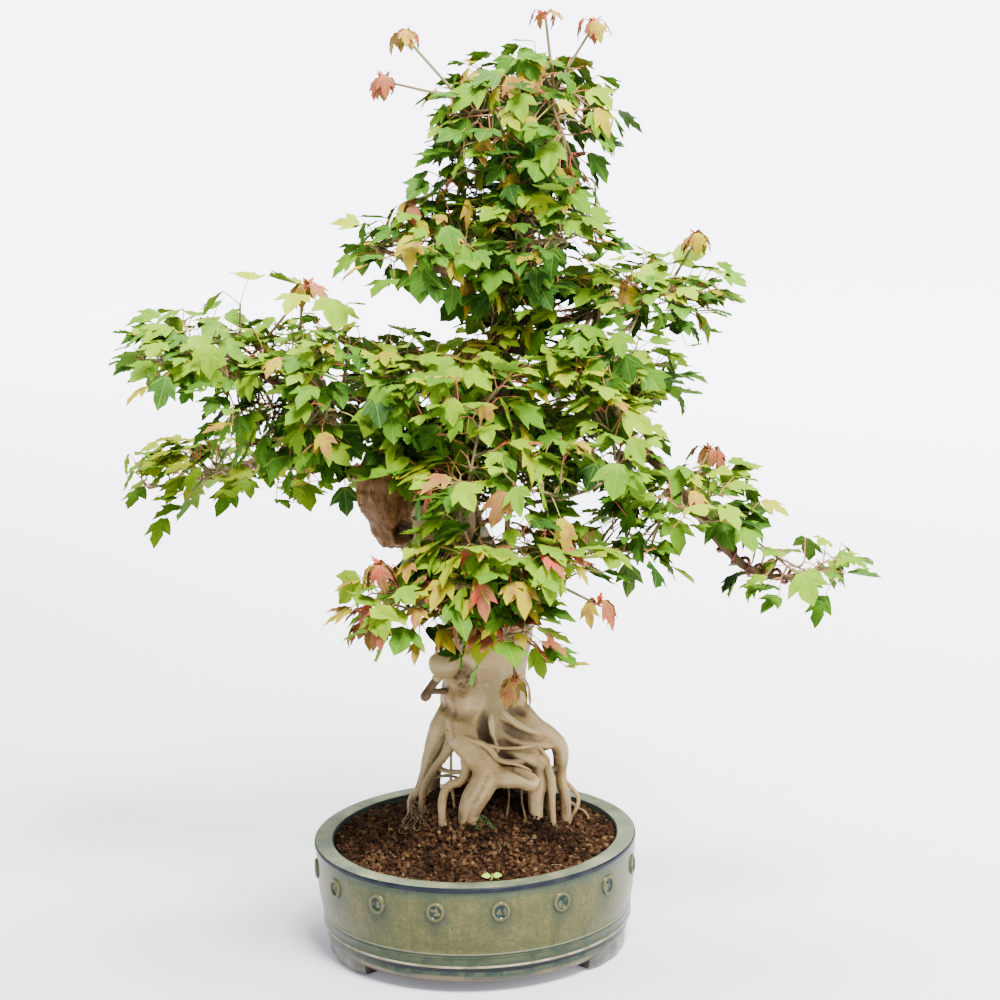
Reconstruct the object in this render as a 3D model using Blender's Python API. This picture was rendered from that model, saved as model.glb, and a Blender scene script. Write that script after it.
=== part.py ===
"""Trident maple bonsai with exposed roots in a round glazed pot.

Lengths are in millimetres until a mesh is made, and Blender's own unit is the metre.
The pot's axis is X = Y = 0 while the parts are made, and the front looks along +Y.
"""
import math
import random

import bmesh
import bpy
from mathutils import Matrix, Vector
from mathutils.bvhtree import BVHTree

MM = 0.001
UP = Vector((0.0, 0.0, 1.0))
GAP = 0.3                    # clear space between pieces that rest on each other

# Pot: a drum with a flat rim, a lip band, ridges and three feet
POT_SEGMENTS = 32
RIM_Z = 90.0
RIM_RADIUS = 130.0
RIM_INNER = 114.5
FLOOR_Z = 17.0
BASE_Z = 8.4
DRAIN_RADIUS = 12.0
STUDS = 16
STUD_Z = 70.0
STUD_SEAT = 129.0            # the body's radius at the studs
STUD_SIDES = 6
STUD_RADIUS = 6.6
STUD_HEIGHT = 2.5
FIRST_STUD = 8.0             # degrees from the front, to the right
FEET = (-66.0, 64.0, 179.0)  # degrees from the front, to the right
FOOT_SPAN = 34.0             # degrees of arc
FOOT_INNER = 100.0
FOOT_OUTER = 119.5           # where it meets the table
FOOT_BULGE = 122.8
FOOT_TOP = 12.5              # sunk in the pot's base
FOOT_INSET = 3.5             # how much narrower a foot is at its ends
FOOT_STEPS = 4

# Soil: a mound under the roots
SOIL_EDGE_Z = 87.0
MOUND_RISE = 41.0
MOUND_RADIUS = 112.0
NET_SIDE = 36.0
NET_THICK = 0.8
NET_CELLS = 5
HOLE_CLEAR = 0.8             # from a root to the wall of its hole
SPROUT = (12.0, -103.0)

# Wire: brown training wire, wound clear of the bark
WIRE_RADIUS = 1.5
WIRE_PITCH = 14.0
WIRE_CORNERS = 7             # to a turn

# Leaves: three lobes on a petiole
LEAF_LENGTH = (34.0, 46.0)
YOUNG_LENGTH = (24.0, 31.0)
PETIOLE_LENGTH = (13.0, 24.0)
BLADE_THICK = 0.8
PETIOLE_HALF = 0.55
TWIG_RADIUS = (1.8, 1.4)

# Room kept round what grows, so that no spray crosses another or the wood
BARK_CLEAR = 1.6
WIRE_CLEAR = 2.0
SHOOT_CLEAR = 2.2
TRUNK_CLEAR = 24.0
SEAT_REACH = 6.0             # how far a shoot's first joint stands off the bark
LEAF_ROOM = {"half": 1.3, "stalk": 1.2, "swell": 1.05}
BLADE_ROOM = 0.8
LONGEST_WAY = 150.0          # the longest way from one shoot to the next, with its bends

# The trunk's axis from the roots to the top: x, y, z, radius
TRUNK = [
    (12, 1, 160, 25), (11, 0, 178, 33), (10, 0, 203, 35), (15, -3, 237, 32), (18, -4, 268, 33),
    (5, -3, 294, 35), (-10, 0, 320, 34), (-21, 2, 346, 35), (-25, 4, 371, 35), (-20, 6, 396, 30),
    (-3, 8, 411, 21), (14, 9, 423, 13), (27, 10, 437, 10), (29, 9, 460, 8.6), (29, 8, 484, 8),
    (33, 7, 506, 8), (37, 6, 529, 8.4), (48, 4, 558, 7), (55, 2, 589, 6.2), (62, 0, 615, 5.4),
    (60, -2, 642, 4.6), (56, -2, 668, 3.6),
]

# Woody branches in the same form, each starting inside what it grows from
BRANCHES = {
    "left_main": [
        (-1, -16, 405, 7), (-18, -31, 419, 5.8), (-29, -35, 440, 5.2), (-49, -28, 452, 4.8),
        (-82, -15, 454, 4.4), (-119, -5, 451, 4), (-145, 0, 464, 3.4), (-170, 5, 481, 3),
        (-199, 10, 490, 2.4), (-222, 12, 486, 1.9),
    ],
    "left_back": [
        (-28, 18, 364, 7), (-54, 60, 366, 5), (-94, 95, 373, 4.4), (-145, 115, 376, 3.8),
        (-199, 122, 371, 3), (-240, 125, 361, 2),
    ],
    "tier2_left": [(36, 4, 525, 6), (16, -14, 536, 4.6), (-9, -24, 550, 4), (-40, -28, 562, 3.2),
                   (-60, -26, 570, 2.2)],
    "tier2_right": [(41, 3, 542, 5.4), (60, -18, 554, 4.2), (80, -30, 567, 3)],
    "tier2_back": [(42, 8, 540, 5), (36, 45, 545, 4), (20, 80, 550, 3)],
    "tier3_right": [(34, 5, 509, 6), (64, 12, 504, 5), (99, 20, 505, 4.2), (135, 25, 516, 3.4),
                    (162, 25, 527, 2.6)],
    "right_main": [
        (31, 4, 488, 7), (50, -10, 487, 6), (71, -18, 481, 5.6), (90, -25, 459, 5.2),
        (114, -32, 431, 4.8), (144, -38, 404, 4.4), (174, -42, 368, 4), (200, -44, 332, 3.6),
        (219, -44, 314, 3.2), (247, -42, 305, 2.6), (271, -40, 309, 2.2),
    ],
    "right_back": [(26, 12, 443, 7), (55, 50, 444, 4.8), (89, 85, 441, 4), (125, 108, 439, 3)],
    "front_low": [(-5, -24, 322, 9), (1, -60, 338, 6.4), (12, -84, 346, 5), (40, -97, 335, 3.8),
                  (68, -100, 320, 2.8)],
    "front_left": [(6, -74, 343, 5), (-10, -96, 328, 3.8), (-33, -104, 312, 2.8)],
    "front_down": [(20, -90, 342, 4.4), (30, -92, 312, 3.4), (33, -88, 285, 2.6)],
    "front_up": [(5, -72, 343, 5), (10, -90, 371, 4), (5, -92, 395, 3)],
    "front_right": [(11, -90, 366, 4), (42, -88, 379, 3.4), (72, -85, 383, 2.6)],
    "centre_front": [(29, 8, 466, 5), (30, -34, 467, 4), (22, -60, 458, 3.2), (4, -76, 454, 2.4)],
    "apex_left": [(61, 0, 612, 4.6), (39, -16, 618, 3.6), (14, -24, 626, 2.6)],
    "apex_right": [(62, -1, 627, 4.2), (80, -14, 632, 3.2), (100, -20, 637, 2.2)],
    "apex_back": [(61, 0, 619, 4.2), (54, 32, 624, 3.2), (44, 58, 630, 2.2)],
    "crown_left": [(59, -2, 655, 3.6), (36, -12, 667, 3), (12, -16, 678, 2.2)],
    "crown_right": [(57, -2, 660, 3.4), (74, -8, 680, 2.4)],
}

# Surface roots in the same form: all but the arm and the runners end upright in the soil
ROOTS = {
    "left": [(-9, -6, 196, 16), (-20, -10, 186, 12), (-28, -10, 172, 9.2), (-34, -9, 158, 6.2),
             (-39, -5, 141, 4.8), (-44, -2, 128, 4.2), (-50, -1, 119, 3.8), (-50, -1, 98, 3.6)],
    "thin_left": [(-12, -20, 182, 8), (-21, -24, 165, 4), (-32, -18, 149, 3.2), (-39.5, -12, 132, 3),
                  (-42, -10, 119, 2.8), (-42, -10, 100, 2.8)],
    "kinked": [(1, -20, 178, 9), (-5, -30, 161, 4.6), (-6, -33, 152, 4), (-10, -35, 145, 3.8),
               (-19.5, -37, 142, 3.6), (-24, -38, 135, 3.4), (-25.5, -40, 124, 3.2),
               (-25.5, -40, 98, 3)],
    "front": [(-4, -10, 196, 17), (-6, -24, 182, 14.5), (2, -32, 168, 13), (12, -37, 154, 12),
              (6, -42, 142, 11), (-1, -44, 130, 10), (-4, -44, 121, 9), (-4, -44, 98, 8.4)],
    "front_arm": [(12, -36, 152, 11), (24, -40, 149, 8.8), (36.5, -41, 148, 8.2), (45, -40, 144, 7.6),
                  (49, -39, 141, 6)],
    "right_block": [(12, -16, 160, 11), (28, -22, 157, 12), (44, -20, 155, 12), (56, -15, 149, 9.5)],
    "block_leg": [(46, -20, 152, 10), (51, -22, 137, 8), (49.5, -24, 126, 6.4), (49.3, -25, 114, 5.6),
                  (49.3, -25, 96, 5.4)],
    "right_leg": [(53, -14, 150, 9), (59, -14, 142, 6.5), (61.4, -15, 134, 5), (61, -16, 120, 4.4),
                  (61, -16, 92, 4.2)],
    "right_second": [(34, -4, 172, 14), (47, 2, 152, 9.5), (55, 9, 135, 7.6), (60, 15, 121, 6.4),
                     (61, 18, 108, 5.8), (61, 18, 92, 5.4)],
    "right_upper": [(22, -4, 200, 17), (38, -9, 190, 11.5), (50, -12, 181, 8.8), (62, -11, 172, 7.8),
                    (70, -9, 162, 7), (71, -7, 152, 6.6), (70, -4, 142, 5.6), (70.5, -2, 134, 5.2),
                    (73.5, 0, 119, 4.8), (74, 2, 105, 4.6), (74, 2, 90, 4.4)],
    "right_ridge": [(20, -25, 186, 7), (32.5, -24, 178, 6.2), (47, -21, 172, 5.6), (62, -13, 166, 5)],
    "back_left": [(-16, 4, 188, 15), (-34, 20, 168, 9), (-45, 33, 146, 6.5), (-49, 40, 124, 5.5),
                  (-49, 40, 98, 5)],
    "back_right": [(24, 12, 188, 19), (40, 32, 160, 11), (50, 44, 138, 8), (53, 48, 118, 7),
                   (53, 48, 96, 6.4)],
    "back_middle": [(8, 14, 184, 20), (5, 36, 158, 12), (2, 47, 140, 8.4), (0, 51, 122, 7.2),
                    (0, 51, 98, 6.6)],
    "runner": [(-19, -27, 184, 3), (-4.7, -38.5, 182, 2.4), (12, -44, 175.5, 2.2), (21, -42, 164, 2.2),
               (40, -30, 158, 2.4)],
    "window": [(-32, -14, 152, 2.2), (-20, -24, 150, 1.9), (-4, -33, 152, 2.2)],
}
ABOVE_SOIL = ("front_arm", "right_block", "right_ridge", "runner", "window")
BURIED = [name for name in ROOTS if name not in ABOVE_SOIL]

# The old rugged stub on the trunk's left, its rings as x, y, z, radius from the top down
STUB = [(-38, 2, 412, 15), (-51, 0, 399, 23), (-58, -2, 382, 27.5), (-56, -3, 362, 26.5),
        (-56, -4, 349, 22), (-60, -4, 338, 17), (-62, -4, 331, 9)]
KNOB = [(0, -9, 238, 12.5), (-10, -11, 236.5, 13.5), (-20, -12, 235, 12.6), (-28, -12, 234, 8.5),
        (-32, -12, 234, 3)]
HORN = [(-14, -10, 208, 8), (-24, -13, 214, 4.2), (-30, -15, 216, 3.8), (-35.4, -16, 210.3, 4.2)]
HOOK = [(-20, -12, 230, 6), (-26, -13.5, 223.5, 3.8), (-30.5, -15, 217.5, 3.6)]

# Where leafy sprays leave each branch: share of its length and degrees from straight up
SEATS = {
    "left_main": [(0.30, 50), (0.45, -60), (0.78, 40), (0.91, -70)],
    "left_back": [(0.48, 50), (0.74, -50)],
    "tier2_left": [(0.55, 40)],
    "tier2_right": [],
    "tier2_back": [],
    "tier3_right": [(0.42, -60), (0.72, 50)],
    "right_main": [(0.20, 30), (0.38, -70), (0.52, 60), (0.60, -50), (0.70, 70)],
    "right_back": [(0.62, -40)],
    "front_low": [(0.66, 30)],
    "front_left": [],
    "front_down": [],
    "front_up": [(0.60, 50)],
    "front_right": [],
    "centre_front": [(0.62, -50)],
    "apex_left": [],
    "apex_right": [],
    "apex_back": [],
    "crown_left": [],
    "crown_right": [],
    "trunk": [],
}
WIRED = {"left": ("left_main", 0.50, 0.73), "back": ("left_back", 0.16, 0.42),
         "right": ("right_main", 0.75, 0.96)}

# Foliage pads: centre, half sizes, and how many leaf pairs each carries
PADS = [
    ((58, 0, 664), (72, 62, 50), 11), ((-18, -10, 566), (68, 62, 32), 7),
    ((64, -12, 578), (52, 58, 34), 5), ((28, 78, 552), (62, 44, 30), 4),
    ((142, 18, 512), (72, 58, 38), 8), ((-98, -4, 464), (104, 88, 48), 11),
    ((-205, 8, 484), (58, 54, 32), 6), ((2, -46, 456), (60, 66, 38), 5),
    ((-182, 112, 366), (108, 52, 34), 8), ((27, -88, 392), (76, 46, 38), 5),
    ((24, -96, 330), (84, 44, 40), 6), ((-46, -98, 304), (48, 38, 30), 3),
    ((32, -92, 274), (42, 38, 30), 2), ((112, 92, 440), (76, 54, 36), 6),
    ((104, -34, 402), (68, 66, 36), 5), ((170, -40, 360), (64, 56, 38), 6),
    ((112, -58, 332), (48, 46, 26), 2), ((252, -40, 308), (56, 36, 20), 2),
    ((-30, 82, 442), (72, 50, 34), 4),
]
PAD_MARGIN = (22.0, 22.0, 15.0)   # what leaves reach past their shoots
POINT_SPACING = 25.0
CROWDED = 0.88                    # cosine of the least angle between shoots at a fork
REACH = [(-232, 8, 482), (-262, 126, 356), (292, -39, 303), (268, -34, 306)]
YOUNG = [(-33, 0, 726), (-49, -5, 694), (73, -5, 738), (108, -8, 730), (86, -28, 622),
         (-31, -22, 602), (-118, -6, 536), (186, 18, 562), (192, 0, 396), (-64, -112, 338),
         (-72, -104, 296), (96, -98, 304), (34, -100, 246)]

OUTLINE = [(-0.60, 0.38), (-0.24, 0.50), (0.0, 1.0), (0.24, 0.50), (0.60, 0.38)]
NARROW = 0.62                # a young blade's width as a share of a grown one's
BLADE_SPINE = (0, 6, 3)
BLADE_FANS = [(0, 2, 1), (0, 3, 2), BLADE_SPINE, (6, 4, 3), (6, 5, 4)]


# Small tools

def unit(v):
    return Vector(v).normalized()


def spot(row):
    return Vector(row[:3])


def material(name, colour, roughness, metallic=0.0):
    mat = bpy.data.materials.new(name)
    mat.use_nodes = True
    shader = mat.node_tree.nodes["Principled BSDF"]
    shader.inputs["Base Color"].default_value = (*colour, 1.0)
    shader.inputs["Roughness"].default_value = roughness
    shader.inputs["Metallic"].default_value = metallic
    mat.diffuse_color = (*colour, 1.0)
    return mat


def add_object(name, shape, mat=None, collection=None):
    """Make an object from vertices in millimetres and faces."""
    verts, faces = shape
    mesh = bpy.data.meshes.new(name)
    mesh.from_pydata([Vector(v) * MM for v in verts], [], faces)
    mesh.update()
    if mat:
        mesh.materials.append(mat)
    obj = bpy.data.objects.new(name, mesh)
    (collection or bpy.context.scene.collection).objects.link(obj)
    return obj


def combine(obj, shapes, operation, solver="EXACT"):
    """Join shapes to an object, or cut them out of it, in one Boolean that is applied."""
    tools = bpy.data.collections.new(obj.name + "_tools")
    bpy.context.scene.collection.children.link(tools)
    for i, shape in enumerate(shapes):
        add_object(f"{obj.name}_tool_{i}", shape, collection=tools)
    boolean = obj.modifiers.new("combine", "BOOLEAN")
    boolean.operation = operation
    boolean.solver = solver
    boolean.operand_type = "COLLECTION"
    boolean.collection = tools
    with bpy.context.temp_override(object=obj, active_object=obj, selected_objects=[obj]):
        bpy.ops.object.modifier_apply(modifier=boolean.name)
    for tool in list(tools.objects):
        mesh = tool.data
        bpy.data.objects.remove(tool)
        bpy.data.meshes.remove(mesh)
    bpy.data.collections.remove(tools)
    keep_outer_shell(obj)
    return obj


def keep_outer_shell(obj):
    """Fill a hollow that joining has sealed, and drop a loose scrap."""
    bm = bmesh.new()
    bm.from_mesh(obj.data)
    left = set(bm.faces)
    shells = []
    while left:
        shell, front = set(), [left.pop()]
        while front:
            face = front.pop()
            shell.add(face)
            for edge in face.edges:
                for other in edge.link_faces:
                    if other in left:
                        left.discard(other)
                        front.append(other)
        shells.append(shell)
    main_shell = max(shells, key=len)
    spare = [face for face in bm.faces if face not in main_shell]
    bmesh.ops.delete(bm, geom=spare, context="FACES")
    bm.to_mesh(obj.data)
    bm.free()


def smooth(obj, angle=40.0):
    obj.data.shade_smooth()
    obj.data.set_sharp_from_angle(angle=math.radians(angle))


def tube(points, radii, sides, start=None):
    """Closed tube through points; start is the direction that its first end faces away from."""
    pts = [Vector(p) for p in points]
    last = len(pts) - 1
    verts, faces = [], []
    across = None
    for i, p in enumerate(pts):
        along = (pts[min(i + 1, last)] - pts[max(i - 1, 0)]).normalized()
        if i == 0 and start is not None:
            along = start
        if across is None:
            across = along.orthogonal()
        across = (across - along * across.dot(along)).normalized()
        third = along.cross(across)
        for k in range(sides):
            turn = 2.0 * math.pi * k / sides
            verts.append(p + (across * math.cos(turn) + third * math.sin(turn)) * radii[i])
    for i in range(last):
        for k in range(sides):
            a, b = i * sides + k, i * sides + (k + 1) % sides
            faces.append((a, b, b + sides, a + sides))
    faces.append(tuple(range(sides - 1, -1, -1)))
    faces.append(tuple(range(last * sides, last * sides + sides)))
    return verts, faces


def limb(rows, sides, grow=0.0):
    return tube([spot(r) for r in rows], [r[3] + grow for r in rows], sides)


def turned(profile, segments, closed=True):
    """Turn a profile of radius and height about Z; a radius of 0 closes an end in a point."""
    verts, rings, faces = [], [], []
    for radius, z in profile:
        if radius == 0:
            rings.append([len(verts)] * segments)
            verts.append((0.0, 0.0, z))
            continue
        rings.append(list(range(len(verts), len(verts) + segments)))
        for k in range(segments):
            turn = 2.0 * math.pi * k / segments
            verts.append((radius * math.cos(turn), radius * math.sin(turn), z))
    pairs = list(zip(rings, rings[1:] + rings[:1])) if closed else list(zip(rings, rings[1:]))
    for low, high in pairs:
        for k in range(segments):
            face = [low[k], low[(k + 1) % segments], high[(k + 1) % segments], high[k]]
            face = list(dict.fromkeys(face))
            if len(face) > 2:
                faces.append(tuple(face))
    return verts, faces


# Pot

def around(degrees, radius, z):
    """A point at an angle from the front, counted to the right."""
    turn = math.radians(degrees)
    return Vector((radius * math.sin(turn), -radius * math.cos(turn), z))


def pot_foot(degrees):
    """A curved foot, narrower at its ends, its top sunk in the pot's base."""
    verts, faces = [], []
    for i in range(FOOT_STEPS + 1):
        share = 2.0 * i / FOOT_STEPS - 1.0
        angle = degrees + share * FOOT_SPAN / 2.0
        inset = FOOT_INSET * share * share
        section = ((FOOT_INNER + inset, FOOT_TOP), (FOOT_INNER + inset + 1.5, 0.0),
                   (FOOT_OUTER - inset, 0.0), (FOOT_BULGE - inset, 6.0),
                   (FOOT_BULGE - inset - 1.6, FOOT_TOP + 3.5))
        verts += [around(angle, radius, z) for radius, z in section]
    sides = len(section)
    for i in range(FOOT_STEPS):
        for k in range(sides):
            a, b = sides * i + k, sides * i + (k + 1) % sides
            faces.append((a, a + sides, b + sides, b))
    faces.append(tuple(range(sides)))
    faces.append(tuple(sides * FOOT_STEPS + k for k in reversed(range(sides))))
    return verts, faces


def pot_stud(degrees):
    """A low round boss on the body, its back sunk in the wall."""
    out = around(degrees, 1.0, 0.0)
    side = UP.cross(out)
    middle = around(degrees, STUD_SEAT, STUD_Z)
    rings = ((STUD_RADIUS, -3.0), (STUD_RADIUS, 0.8), (STUD_RADIUS * 0.6, STUD_HEIGHT))
    verts, faces = [], []
    for radius, height in rings:
        for k in range(STUD_SIDES):
            turn = 2.0 * math.pi * (k + 0.5) / STUD_SIDES
            verts.append(middle + out * height
                         + (side * math.cos(turn) + UP * math.sin(turn)) * radius)
    for ring in range(2):
        for k in range(STUD_SIDES):
            a, b = ring * STUD_SIDES + k, ring * STUD_SIDES + (k + 1) % STUD_SIDES
            faces.append((a, b, b + STUD_SIDES, a + STUD_SIDES))
    faces.append(tuple(range(STUD_SIDES - 1, -1, -1)))
    faces.append(tuple(range(2 * STUD_SIDES, 3 * STUD_SIDES)))
    return verts, faces


def make_pot(mat):
    profile = [
        (DRAIN_RADIUS, FLOOR_Z), (DRAIN_RADIUS, BASE_Z), (118.2, BASE_Z), (122.8, 15.0),
        (122.3, 20.6), (125.4, 23.0), (124.5, 24.6), (124.5, 30.8), (125.2, 31.8), (125.2, 34.2),
        (127.6, 48.0), (129.0, 66.0), (128.6, 84.4), (RIM_RADIUS, 85.6), (RIM_RADIUS, 88.8),
        (128.8, RIM_Z), (RIM_INNER, RIM_Z), (109.6, 27.0), (102.0, FLOOR_Z),
    ]
    pot = add_object("pot", turned(profile, POT_SEGMENTS), mat)
    studs = [pot_stud(FIRST_STUD + 360.0 * i / STUDS) for i in range(STUDS)]
    combine(pot, studs + [pot_foot(angle) for angle in FEET], "UNION")
    smooth(pot, 30.0)
    return pot


# Soil, net and sprout

def mound_height(x, y):
    share = min(math.hypot(x, y) / MOUND_RADIUS, 1.0)
    return SOIL_EDGE_Z + MOUND_RISE * (0.5 + 0.5 * math.cos(math.pi * share))


def make_soil(mat):
    """The mound, shaped to the pot's inside, with a plain hole for each buried stem."""
    net_top = FLOOR_Z + GAP + NET_THICK
    profile = [(0, net_top + GAP), (101.6, net_top + GAP), (109.2, 27.4), (113.8, SOIL_EDGE_Z)]
    profile += [(radius, mound_height(radius, 0.0)) for radius in (86, 60, 32)]
    profile += [(0, mound_height(0.0, 0.0))]
    soil = add_object("soil", turned(profile, POT_SEGMENTS, closed=False), mat)
    holes = []
    for name in BURIED:
        x, y, z, radius = ROOTS[name][-1]
        holes.append(limb(ROOTS[name] + [(x, y, z - 0.6, radius)], 6, grow=HOLE_CLEAR))
    x, y = SPROUT
    top = mound_height(x, y)
    holes.append(limb([(x, y, top + 6, 1.2), (x, y, top - 8, 1.2)], 6))
    combine(soil, holes, "DIFFERENCE")
    return soil


def make_net(mat):
    """A flat square net: bars and square openings in an even grid."""
    step = NET_SIDE / NET_CELLS
    bm = bmesh.new()
    grid = {}
    for i in range(NET_CELLS + 1):
        for j in range(NET_CELLS + 1):
            place = Vector((i * step - NET_SIDE / 2, j * step - NET_SIDE / 2, FLOOR_Z + GAP))
            grid[i, j] = bm.verts.new(place * MM)
    for i in range(NET_CELLS):
        for j in range(NET_CELLS):
            if i % 2 and j % 2:
                continue
            bm.faces.new((grid[i, j], grid[i, j + 1], grid[i + 1, j + 1], grid[i + 1, j]))
    raised = bmesh.ops.extrude_face_region(bm, geom=list(bm.faces), use_keep_orig=True)
    tops = [v for v in raised["geom"] if isinstance(v, bmesh.types.BMVert)]
    bmesh.ops.translate(bm, verts=tops, vec=UP * (NET_THICK * MM))
    bmesh.ops.recalc_face_normals(bm, faces=bm.faces)
    mesh = bpy.data.meshes.new("drain_net")
    bm.to_mesh(mesh)
    bm.free()
    mesh.materials.append(mat)
    obj = bpy.data.objects.new("drain_net", mesh)
    bpy.context.scene.collection.objects.link(obj)
    return obj


def make_sprout(mat):
    """A seedling: an upright stem and two round leaves."""
    x, y = SPROUT
    top = mound_height(x, y)
    stem = limb([(x, y, top - 7, 0.8), (x, y, top + 3.5, 0.8), (x, y, top + 7, 0.9)], 5)
    sprout = add_object("sprout", stem, mat)
    leaves = []
    for side in (-1.0, 1.0):
        verts = []
        for z in (top + 6.4, top + 7.2):
            for k in range(7):
                turn = 2.0 * math.pi * k / 7
                verts.append(Vector((x + side * (4.6 + 4.9 * math.cos(turn) * side),
                                     y + 3.6 * math.sin(turn), z)))
        faces = [tuple(range(6, -1, -1)), tuple(range(7, 14))]
        faces += [(k, (k + 1) % 7, (k + 1) % 7 + 7, k + 7) for k in range(7)]
        leaves.append((verts, faces))
    combine(sprout, leaves, "UNION")
    return sprout


# Wood and wire

def make_wood(mat):
    """Trunk, stub, knob, horn, roots and woody branches, grown as one."""
    wood = add_object("wood", limb(TRUNK, 10), mat)
    pieces = [limb(STUB, 8), limb(KNOB, 8), limb(HORN, 5), limb(HOOK, 5)]
    for name, rows in ROOTS.items():
        pieces.append(limb(rows, 6 if name in BURIED else 5))
    pieces += [limb(rows, 5) for rows in BRANCHES.values()]
    combine(wood, pieces, "UNION")
    smooth(wood, 50.0)
    return wood


def route(rows, share):
    """Point, direction and radius at a share of a limb's length."""
    lengths = [(spot(b) - spot(a)).length for a, b in zip(rows, rows[1:])]
    left = share * sum(lengths)
    for (a, b), length in zip(zip(rows, rows[1:]), lengths):
        if left <= length:
            t = left / length
            return spot(a).lerp(spot(b), t), unit(spot(b) - spot(a)), a[3] + (b[3] - a[3]) * t
        left -= length
    return spot(rows[-1]), unit(spot(rows[-1]) - spot(rows[-2])), rows[-1][3]


def wire_shape(branch, first, last):
    """Training wire wound round a stretch of a branch, its corners clear of the bark."""
    rows = BRANCHES[branch]
    whole = sum((spot(b) - spot(a)).length for a, b in zip(rows, rows[1:]))
    turns = (last - first) * whole / WIRE_PITCH
    steps = int(turns * WIRE_CORNERS)
    clear = 1.0 / math.cos(math.pi / WIRE_CORNERS)
    across = None
    points = []
    for i in range(steps + 1):
        place, along, radius = route(rows, first + (last - first) * i / steps)
        if across is None:
            across = along.orthogonal()
        across = (across - along * across.dot(along)).normalized()
        third = along.cross(across)
        turn = 2.0 * math.pi * i / WIRE_CORNERS
        reach = (radius + GAP + WIRE_RADIUS) * clear
        points.append(place + (across * math.cos(turn) + third * math.sin(turn)) * reach)
    return tube(points, [WIRE_RADIUS] * len(points), 3)


# Leaves

def blade_offset(u, v, length):
    """How far the blade's surface bends down at a point of its outline."""
    return -length * (0.10 * v * v + 0.22 * abs(u) ** 1.5)


def leaf_shape(leaf, half=BLADE_THICK / 2, stalk=PETIOLE_HALF, swell=1.0):
    """A three-lobed blade of even thickness and its three-sided petiole, as one closed shape."""
    base, along, flat = leaf["base"], leaf["along"], leaf["flat"]
    right = along.cross(flat)
    length = leaf["length"] * swell
    wide = NARROW if leaf["young"] else 1.0
    rise = unit(right.cross(base - leaf["root"]))
    ring = unit(flat + rise)
    ring *= max(half, stalk) / max(ring.dot(flat), 0.5)
    rim = []
    for u, v in OUTLINE:
        u *= wide
        rim.append(base + right * (u * length) + along * (v * length)
                   + flat * blade_offset(u, v, length))
    verts = [base - right * stalk + ring, *[p + flat * half for p in rim],
             base + right * stalk + ring, base - ring, *[p - flat * half for p in rim]]
    verts += [leaf["root"] - right * stalk + rise * stalk * 0.6,
              leaf["root"] + right * stalk + rise * stalk * 0.6, leaf["root"] - rise * stalk]
    left, far, under, stem = 0, len(rim) + 1, len(rim) + 2, 2 * len(rim) + 3
    top = [left, *range(1, far), far]
    low = [under, *range(under + 1, stem), under]
    faces = [tuple(top[k] for k in fan) for fan in BLADE_FANS]
    faces += [tuple(low[k] for k in reversed(fan)) for fan in BLADE_FANS if fan != BLADE_SPINE]
    for i in range(len(top) - 1):
        faces.append((top[i], top[i + 1], low[i + 1]))
        faces.append((top[i], low[i + 1], low[i]))
    faces += [(stem, stem + 1, far, left), (stem, left, under, stem + 2),
              (stem + 1, stem + 2, under, far), (stem, stem + 2, stem + 1)]
    return verts, faces


def aim_leaf(root, stem, reach, droop, twist, length, young=False):
    """A leaf on a petiole from root along stem; its blade falls away from the petiole's end."""
    base = root + stem * reach
    level = Vector((stem.x, stem.y, 0.0))
    level = unit(level) if level.length > 0.05 else Vector((0.0, -1.0, 0.0))
    along = level * math.cos(droop) - UP * math.sin(droop)
    flat = UP * math.cos(droop) + level * math.sin(droop)
    flat.rotate(Matrix.Rotation(twist, 3, along))
    return {"root": root, "base": base, "along": along, "flat": flat, "length": length,
            "young": young}


# Growth: which shoot carries which leaves

def tree_of(shape):
    verts, faces = shape
    return BVHTree.FromPolygons([tuple(v) for v in verts], faces)


def extent(shape):
    """A shape's middle, and how far it reaches from there."""
    spots = [Vector(v) for v in shape[0]]
    middle = sum(spots, Vector()) / len(spots)
    return middle, max((p - middle).length for p in spots)


class Guards:
    """Shapes already in place, each with the spray that it belongs to."""

    def __init__(self):
        self.items = []

    def add(self, shape, owner):
        self.items.append((tree_of(shape), *extent(shape), owner))

    def hits(self, shape, owner, own_too=False):
        middle, size = extent(shape)
        tree = tree_of(shape)
        for other, place, reach, name in self.items:
            if name == owner and not own_too:
                continue
            if (place - middle).length < reach + size and other.overlap(tree):
                return True
        return False


def all_limbs():
    limbs = {"trunk": TRUNK, "stub": STUB, "knob": KNOB, "horn": HORN, "hook": HOOK}
    limbs.update(BRANCHES)
    limbs.update({f"root_{name}": rows for name, rows in ROOTS.items()})
    return limbs


def wood_guards():
    guards = Guards()
    for rows in all_limbs().values():
        for a, b in zip(rows, rows[1:]):
            guards.add(limb([a, b], 8, grow=BARK_CLEAR), "wood")
    for branch, first, last in WIRED.values():
        stretch = []
        for i in range(5):
            place, _, radius = route(BRANCHES[branch], first + (last - first) * i / 4)
            stretch.append((*place, radius + 2 * WIRE_RADIUS + WIRE_CLEAR))
        guards.add(limb(stretch, 8), "wood")
    return guards


def seat_list():
    """Every place where a spray leaves the wood: point on the axis, direction and radius."""
    seats = []
    for name, stations in SEATS.items():
        rows = TRUNK if name == "trunk" else BRANCHES[name]
        for share, degrees in stations:
            place, along, radius = route(rows, share)
            side = unit(along.cross(UP))
            rise = side.cross(along)
            turn = math.radians(degrees)
            seats.append((place, rise * math.cos(turn) + side * math.sin(turn), radius))
        place, along, radius = route(rows, 1.0)
        seats.append((place, along, 0.0))
    return seats


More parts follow.
